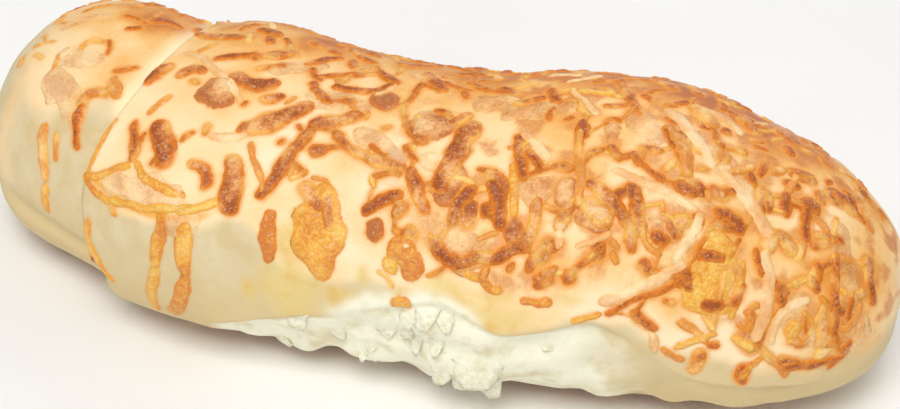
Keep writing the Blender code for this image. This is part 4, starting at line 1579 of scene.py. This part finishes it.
def new_group(
    name: str, inputs: dict[str, str], outputs: dict[str, str]
) -> tuple[Graph, Node, Tree]:
    """Starts a shader group.

    Args:
        name: The group's name.
        inputs: Its inputs' socket types, by name.
        outputs: Its outputs' socket types, by name.

    Returns:
        Its graph, its input node and its tree.
    """
    tree = bpy.data.node_groups.new(name, "ShaderNodeTree")
    for key, kind in inputs.items():
        tree.interface.new_socket(key, in_out="INPUT", socket_type=kind)
    for key, kind in outputs.items():
        tree.interface.new_socket(key, in_out="OUTPUT", socket_type=kind)
    graph = Graph(tree)
    return graph, graph.node("NodeGroupInput"), tree


FLOAT, COLOR, VECTOR = "NodeSocketFloat", "NodeSocketColor", "NodeSocketVector"
ZONE_INPUTS = (
    "Gold", "Net", "Dough", "Low", "Melt", "Film", "Crumb", "Sole", "Groove", "Halo", "Glow",
)


@dataclass(frozen=True)
class CrustTones:
    """The colours of the dough, from its pale side to its browned sole."""

    gold: Stops = (
        (0.0, shade(253, 236, 204)),
        (0.28, shade(252, 226, 180)),
        (0.5, shade(250, 212, 154)),
        (0.7, shade(243, 187, 108)),
        (0.86, shade(222, 144, 58)),
        (1.0, shade(190, 104, 36)),
    )
    net: Colour = shade(240, 168, 82)
    net_deep: Colour = shade(204, 120, 54)
    dough: Colour = shade(214, 192, 144)
    dough_light: Colour = shade(222, 206, 168)
    # painted shade: the dough's darker colour low on the roll
    dough_shaded_low: Colour = shade(219, 196, 146)
    groove: Colour = shade(254, 240, 204)
    melt: Colour = shade(238, 170, 62)
    film: Colour = shade(230, 206, 132)
    film_deep: Colour = shade(222, 178, 78)
    crumb: Colour = shade(248, 245, 222)
    # painted shade: the crumb's darker olive tone, standing for shade in its hollows, spread by
    # noise rather than set in them
    crumb_in_shade: Colour = shade(226, 216, 178)
    sole: Colour = shade(206, 150, 88)
    sole_deep: Colour = shade(168, 106, 52)
    halo: Colour = shade(236, 156, 64)


def surface_grain() -> Tree:
    """The group that mottles and roughens baked surfaces, in three sizes, and places painted
    glints: light specks that stand for highlights.
    """
    outputs = {"Slow": FLOAT, "Fine": FLOAT, "Pits": FLOAT, "Blisters": FLOAT, "Glints": FLOAT}
    graph, given, tree = new_group("surface_grain", {"Vector": VECTOR}, outputs)
    where = given.outputs["Vector"]
    slow = graph.noise(where, 5.5, 3.0, 0.55)
    fine = graph.noise(where, 1.1, 4.0, 0.6)
    pits = graph.smooth(graph.cells(where, 2.6, "F1"), 0.02, 0.16)
    cells = graph.cells(where, 0.62)
    blisters = graph.scaled(cells, -0.7, graph.noise(where, 0.45, 3.0, 0.6))
    # painted highlight: Glints marks small specks that the cheese finishes lighten, standing for
    # gleams of light
    glints = graph.smooth(graph.noise(where, 0.5, 2.0, 0.6), 0.56, 0.72)
    found = {"Slow": slow, "Fine": fine, "Pits": pits, "Blisters": blisters, "Glints": glints}
    graph.node("NodeGroupOutput", found)
    return tree


def crust_colours(grain: Tree, tones: CrustTones) -> Tree:
    """The group that colours the crust from how it is baked.

    Args:
        grain: The group that mottles it.
        tones: Its colours.

    Returns:
        The group, which gives a colour, a roughness and a height.
    """
    inputs = {"Vector": VECTOR} | dict.fromkeys(ZONE_INPUTS, FLOAT)
    outputs = {"Color": COLOR, "Roughness": FLOAT, "Height": FLOAT}
    graph, given, tree = new_group("crust_colours", inputs, outputs)
    where = given.outputs["Vector"]
    rough = graph.place(grain, {"Vector": where})
    slow, fine, pits = (rough.outputs[key] for key in ("Slow", "Fine", "Pits"))

    level = graph.scaled(slow, 0.26, given.outputs["Gold"])
    level = graph.math("ADD", graph.math("MULTIPLY", fine, 0.14), level)
    level = graph.math("ADD", graph.math("MULTIPLY", given.outputs["Glow"], 0.2), level)
    level = graph.math("SUBTRACT", level, 0.2)
    colour = graph.ramp(level, tones.gold)
    speckled = graph.math("MULTIPLY", graph.math("SUBTRACT", rough.outputs["Blisters"], 0.3), 0.4)
    meshed = graph.smooth(graph.math("ADD", given.outputs["Net"], speckled), 0.0, 1.1)
    net = graph.mix(meshed, tones.net, tones.net_deep)
    colour = graph.mix(graph.math("MULTIPLY", meshed, 0.95), colour, net)
    colour = graph.mix(given.outputs["Groove"], colour, tones.groove)

    light = graph.smooth(slow, 0.3, 0.7)
    dough = graph.mix(light, tones.dough, tones.dough_light)
    flecks = graph.math("MULTIPLY", graph.smooth(fine, 0.45, 0.8), 0.12)
    dough = graph.mix(flecks, dough, tones.film)
    # painted shade: the dough takes its shaded colour low on the roll
    dough = graph.mix(given.outputs["Low"], dough, tones.dough_shaded_low)
    colour = graph.mix(given.outputs["Dough"], colour, dough)

    ragged = graph.math("MULTIPLY", graph.math("SUBTRACT", slow, 0.5), 0.5)
    film = graph.smooth(graph.math("ADD", given.outputs["Film"], ragged), 0.2, 0.75)
    film_colour = graph.mix(graph.smooth(slow, 0.42, 0.75), tones.film, tones.film_deep)
    colour = graph.mix(graph.math("MULTIPLY", film, 0.8), colour, film_colour)
    melt = graph.smooth(graph.math("ADD", given.outputs["Melt"], ragged), 0.15, 0.8)
    colour = graph.mix(graph.math("MULTIPLY", melt, 0.85), colour, tones.melt)

    stray = graph.math("MULTIPLY", graph.math("MULTIPLY", ragged, 0.7), given.outputs["Crumb"])
    crumb_mask = graph.smooth(graph.math("ADD", given.outputs["Crumb"], stray), 0.05, 0.85)
    # painted shade: the crumb takes its shaded tone where the slow noise is low
    crumb = graph.mix(graph.smooth(slow, 0.3, 0.55), tones.crumb_in_shade, tones.crumb)
    colour = graph.mix(crumb_mask, colour, crumb)
    halo = graph.smooth(given.outputs["Halo"], 0.12, 1.0)
    colour = graph.mix(graph.math("MULTIPLY", halo, 0.85), colour, tones.halo)
    sole = graph.mix(graph.smooth(slow, 0.35, 0.65), tones.sole, tones.sole_deep)
    colour = graph.mix(given.outputs["Sole"], colour, sole)

    gloss = graph.scaled(slow, 0.2, 0.36)
    dull = graph.math("MAXIMUM", given.outputs["Dough"], crumb_mask)
    roughness = graph.math("ADD", gloss, graph.math("MULTIPLY", dull, 0.22), clamp=True)
    height = graph.scaled(pits, 0.25, fine)
    fibres = graph.math("MULTIPLY", graph.math("MULTIPLY", fine, crumb_mask), 1.2)
    height = graph.math("ADD", height, fibres)
    graph.node("NodeGroupOutput", {"Color": colour, "Roughness": roughness, "Height": height})
    return tree


@dataclass(frozen=True)
class BakedLook:
    """What every baked finish shares: its groups, its depth of light and how a shader is closed."""

    grain: Tree
    crust: Tree
    glow_depth: float = 1.6
    glow_share: float = 0.14

    def start(self, name: str) -> tuple[Material, Graph, Socket, Node]:
        """Starts a finish: its material, graph, texture places and crust colours."""
        material = bpy.data.materials.new(name)
        material.use_nodes = True
        graph = Graph(material.node_tree)
        where = graph.node("ShaderNodeTexCoord").outputs["Object"]
        zones = {key: graph.share(key.lower()) for key in ZONE_INPUTS}
        return material, graph, where, graph.place(self.crust, {"Vector": where} | zones)

    def finish(
        self, graph: Graph, colour: Socket, roughness: Socket, height: Socket, depth: float
    ) -> None:
        """Closes a finish with its shader.

        Args:
            graph: The material's graph.
            colour: Its colour.
            roughness: Its roughness.
            height: The height that roughens its surface.
            depth: How deep that relief is, in millimetres.
        """
        bump = graph.node("ShaderNodeBump", {"Height": height})
        bump.inputs["Strength"].default_value = 0.8
        bump.inputs["Distance"].default_value = depth * MM
        inputs = {"Base Color": colour, "Roughness": roughness, "Normal": bump.outputs[0]}
        shader = graph.node("ShaderNodeBsdfPrincipled", inputs)
        shader.inputs["Subsurface Weight"].default_value = self.glow_share
        shader.inputs["Subsurface Radius"].default_value = (1.0, 0.55, 0.25)
        shader.inputs["Subsurface Scale"].default_value = self.glow_depth * MM
        shader.inputs["IOR"].default_value = 1.4
        graph.node("ShaderNodeOutputMaterial", {"Surface": shader.outputs[0]})


@dataclass(frozen=True)
class CrustFinish:
    """The baked crust of the roll with its pale side, torn crumb and sole."""

    name: str = "baked_crust"
    relief: float = 0.12

    def material(self, look: BakedLook) -> Material:
        """Makes the finish from the shared look."""
        made, graph, _, crust = look.start(self.name)
        outputs = (crust.outputs[key] for key in ("Color", "Roughness", "Height"))
        look.finish(graph, *outputs, self.relief)
        return made


@dataclass(frozen=True)
class CheeseFinish:
    """Melted cheese of one kind: its rim, how its middle toasts, how sheer it is and its painted
    glints.
    """

    name: str
    rim: Colour
    rim_pale: Colour
    light: Colour
    middle: Colour
    dark: Colour
    gloss: float
    relief: float
    rim_width: float = 0.5
    blistered: float = 0.5
    sheer: float = 0.0
    # painted highlight: the light colour of the glints on the cheese
    glint: Colour = shade(253, 228, 204)

    def material(self, look: BakedLook) -> Material:
        """Makes the finish from the shared look.

        Args:
            look: The shared groups and depth of light.

        Returns:
            The material.
        """
        made, graph, where, crust = look.start(self.name)
        grain = graph.place(look.grain, {"Vector": where})
        fine, blisters, glints = (grain.outputs[key] for key in ("Fine", "Blisters", "Glints"))
        stray = graph.math("MULTIPLY", graph.math("SUBTRACT", fine, 0.5), 1.5)
        inside = graph.math("ADD", graph.share("inside"), stray)
        toast = graph.scaled(blisters, 0.7 * self.blistered, graph.share("toast"))
        toast = graph.math("ADD", toast, graph.math("MULTIPLY", stray, 0.5))
        middle = graph.ramp(toast, ((0.1, self.light), (0.5, self.middle), (0.9, self.dark)))
        # painted highlight: specks of the glint colour mixed into the cheese's middle
        middle = graph.mix(graph.math("MULTIPLY", glints, 0.4), middle, self.glint)
        middle = graph.mix(self.sheer, middle, crust.outputs["Color"])
        rim = graph.mix(graph.smooth(graph.share("toast"), 0.1, 0.6), self.rim_pale, self.rim)
        past_rim = graph.smooth(inside, self.rim_width * 0.3, self.rim_width * 2.2)
        body = graph.mix(past_rim, rim, middle)
        colour = graph.mix(graph.smooth(inside, -0.25, 0.35), crust.outputs["Color"], body)
        glossy = graph.scaled(blisters, 0.4, self.gloss - 0.1)
        height = graph.math("MULTIPLY", blisters, graph.smooth(inside, 0.0, 0.3))
        height = graph.math("ADD", height, graph.math("MULTIPLY", crust.outputs["Height"], 0.3))
        look.finish(graph, colour, glossy, height, self.relief)
        return made


@dataclass(frozen=True)
class CrumbFinish:
    """The white, fibrous crumb inside the roll."""

    name: str = "torn_crumb"
    relief: float = 0.3
    tones: CrustTones = CrustTones()

    def material(self, look: BakedLook) -> Material:
        """Makes the finish from the shared look."""
        made, graph, where, crust = look.start(self.name)
        grain = graph.place(look.grain, {"Vector": where})
        fine, blisters = grain.outputs["Fine"], grain.outputs["Blisters"]
        # painted shade: the crumb takes its shaded tone where the fine noise is low
        colour = graph.mix(graph.smooth(fine, 0.25, 0.6), self.tones.crumb_in_shade, self.tones.crumb)
        colour = graph.mix(0.12, colour, crust.outputs["Color"])
        roughness = graph.scaled(fine, 0.2, 0.68)
        look.finish(graph, colour, roughness, graph.math("ADD", fine, blisters), self.relief)
        return made


# Each cheese: its rim, pale rim, light, middle and dark tones, and how it gleams and is grained.
FINISHES = {
    Kind.SHEET: CheeseFinish(
        "melted_sheet",
        *shades((238, 168, 84), (250, 204, 134), (252, 218, 164), (240, 180, 116), (204, 122, 58)),
        gloss=0.4, relief=0.25, rim_width=0.25, blistered=1.0, sheer=0.5,
    ),
    Kind.MELTED: CheeseFinish(
        "melted_cheese",
        *shades((228, 132, 16), (240, 168, 44), (246, 204, 104), (236, 166, 50), (210, 116, 18)),
        gloss=0.34, relief=0.2, rim_width=0.35, blistered=1.0, sheer=0.1,
    ),
    Kind.BROWNED: CheeseFinish(
        "browned_cheese",
        *shades((224, 124, 16), (246, 184, 84), (242, 184, 116), (213, 134, 66), (164, 80, 20)),
        gloss=0.46, relief=0.24, blistered=0.8,
    ),
    Kind.CRUSTY: CheeseFinish(
        "crusty_cheese",
        *shades((212, 120, 46), (236, 168, 88), (250, 210, 154), (230, 162, 98), (176, 94, 42)),
        gloss=0.46, relief=0.35, blistered=0.8, sheer=0.15,
    ),
    Kind.GOLDEN: CheeseFinish(
        "golden_cheese",
        *shades((232, 146, 44), (250, 192, 90), (251, 212, 142), (241, 180, 98), (212, 134, 60)),
        gloss=0.4, relief=0.2, sheer=0.1,
    ),
    Kind.PALE: CheeseFinish(
        "pale_cheese",
        *shades(
            (242, 182, 112), (253, 216, 156), (254, 234, 198), (252, 216, 166), (236, 178, 124),
        ),
        gloss=0.42, relief=0.2, rim_width=0.6, sheer=0.35,
    ),
}


@dataclass(frozen=True)
class FloorFinish:
    """A plain pale floor with a faint grain."""

    name: str = "pale_floor"
    colour: Colour = (0.93, 0.93, 0.925, 1.0)
    shaded: Colour = (0.9, 0.9, 0.895, 1.0)

    def material(self) -> Material:
        """Makes the floor's finish."""
        made = bpy.data.materials.new(self.name)
        made.use_nodes = True
        graph = Graph(made.node_tree)
        where = graph.node("ShaderNodeTexCoord").outputs["Object"]
        patchy = graph.noise(where, 90.0, 3.0)
        colour = graph.mix(graph.smooth(patchy, 0.3, 0.7), self.shaded, self.colour)
        bump = graph.node("ShaderNodeBump", {"Height": graph.noise(where, 1.5)})
        bump.inputs["Distance"].default_value = 0.02 * MM
        inputs = {"Base Color": colour, "Normal": bump.outputs[0]}
        shader = graph.node("ShaderNodeBsdfPrincipled", inputs)
        shader.inputs["Roughness"].default_value = 0.8
        graph.node("ShaderNodeOutputMaterial", {"Surface": shader.outputs[0]})
        return made


@dataclass
class Studio:
    """The floor, the soft lights and the camera."""

    azimuth: float = 20.0
    elevation: float = 38.0
    target: tuple[float, float, float] = (0.0058, 0.0032, 0.0214)
    distance: float = 0.400
    lens: float = 81.0
    floor_half: float = 3.0
    floor_edge: float = 0.4
    # each light: where it stands as a direction, how far, how large, how strong, and its tint
    lights: tuple[tuple[Row, float, float, float, Row], ...] = (
        ((0.06, -0.44, 0.86), 0.9, 0.42, 4.7, (1.0, 0.98, 0.95)),
        ((-0.35, -0.85, 0.40), 1.0, 0.7, 0.7, (0.97, 0.98, 1.0)),
        ((0.10, 0.80, 0.60), 1.0, 0.7, 2.2, (1.0, 1.0, 1.0)),
    )
    sky: tuple[float, float, float, float] = (1.0, 1.0, 1.0, 1.0)
    sky_strength: float = 0.46

    def build_floor(self) -> Object:
        """A broad floor under the roll, made of a ring of faces round a fine middle."""
        half, inner = self.floor_half, self.floor_edge
        steps = (-half, -inner, inner, half)
        points = np.array([(x, y, 0.0) for y in steps for x in steps]) / MM
        floor = object_from("floor", points, grid_faces(len(steps), len(steps), 0), {})
        floor.data.materials.append(FloorFinish().material())
        return floor

    def build_lights(self) -> None:
        """Broad soft lights, and an even pale sky."""
        for index, (way, distance, size, power, tint) in enumerate(self.lights):
            lamp = bpy.data.lights.new(f"softbox_{index}", "AREA")
            lamp.energy, lamp.size, lamp.color = power, size, tint
            holder = bpy.data.objects.new(lamp.name, lamp)
            holder.location = Vector(way).normalized() * distance
            holder.rotation_euler = Vector(way).to_track_quat("Z", "Y").to_euler()
            bpy.context.scene.collection.objects.link(holder)
        world = bpy.data.worlds.new("pale_sky")
        world.use_nodes = True
        background = world.node_tree.nodes["Background"]
        background.inputs["Color"].default_value = self.sky
        background.inputs["Strength"].default_value = self.sky_strength
        bpy.context.scene.world = world
        bpy.context.scene.view_settings.view_transform = "Standard"

    def build_camera(self) -> Object:
        """The camera, high in front of the roll and a little to its right."""
        turn, rise = math.radians(self.azimuth), math.radians(self.elevation)
        level = math.cos(rise)
        back = Vector((math.sin(turn) * level, -math.cos(turn) * level, math.sin(rise)))
        lens = bpy.data.cameras.new("camera")
        lens.lens, lens.sensor_width = self.lens, 36.0
        camera = bpy.data.objects.new("camera", lens)
        camera.location = Vector(self.target) + back * self.distance
        camera.rotation_euler = back.to_track_quat("Z", "Y").to_euler()
        bpy.context.scene.collection.objects.link(camera)
        bpy.context.scene.camera = camera
        return camera


def place(piece: Object, material: Material) -> None:
    """Gives a piece its finish, and lets it ride with the roll in place of its plain solid."""
    piece.data.materials.append(material)
    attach(piece, BODY)
    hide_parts(NODE)
    LOG.info("%s: %d faces", piece.name, len(piece.data.polygons))


def main() -> None:
    """Builds the breadstick, its finishes and its studio."""
    logging.basicConfig(level=logging.INFO, format="%(name)s: %(message)s")
    form, shape, painter = RollForm(), ToppingShape(), CrustPainter()
    toppings = [shape.lay(form, topping) for topping in CheeseScatter().all_toppings(form)]
    LOG.info("%d toppings laid", len(toppings))

    grain = surface_grain()
    look = BakedLook(grain, crust_colours(grain, CrustTones()))
    place(DoughBody(form, painter).build(toppings), CrustFinish().material(look))
    for kind, finish in FINISHES.items():
        place(ToppingLayer(kind, form, shape, painter).build(toppings), finish.material(look))
    place(TornCrumb(form, painter).build(), CrumbFinish().material(look))

    studio = Studio()
    studio.build_floor()
    studio.build_lights()
    studio.build_camera()


if __name__ == "__main__":
    main()
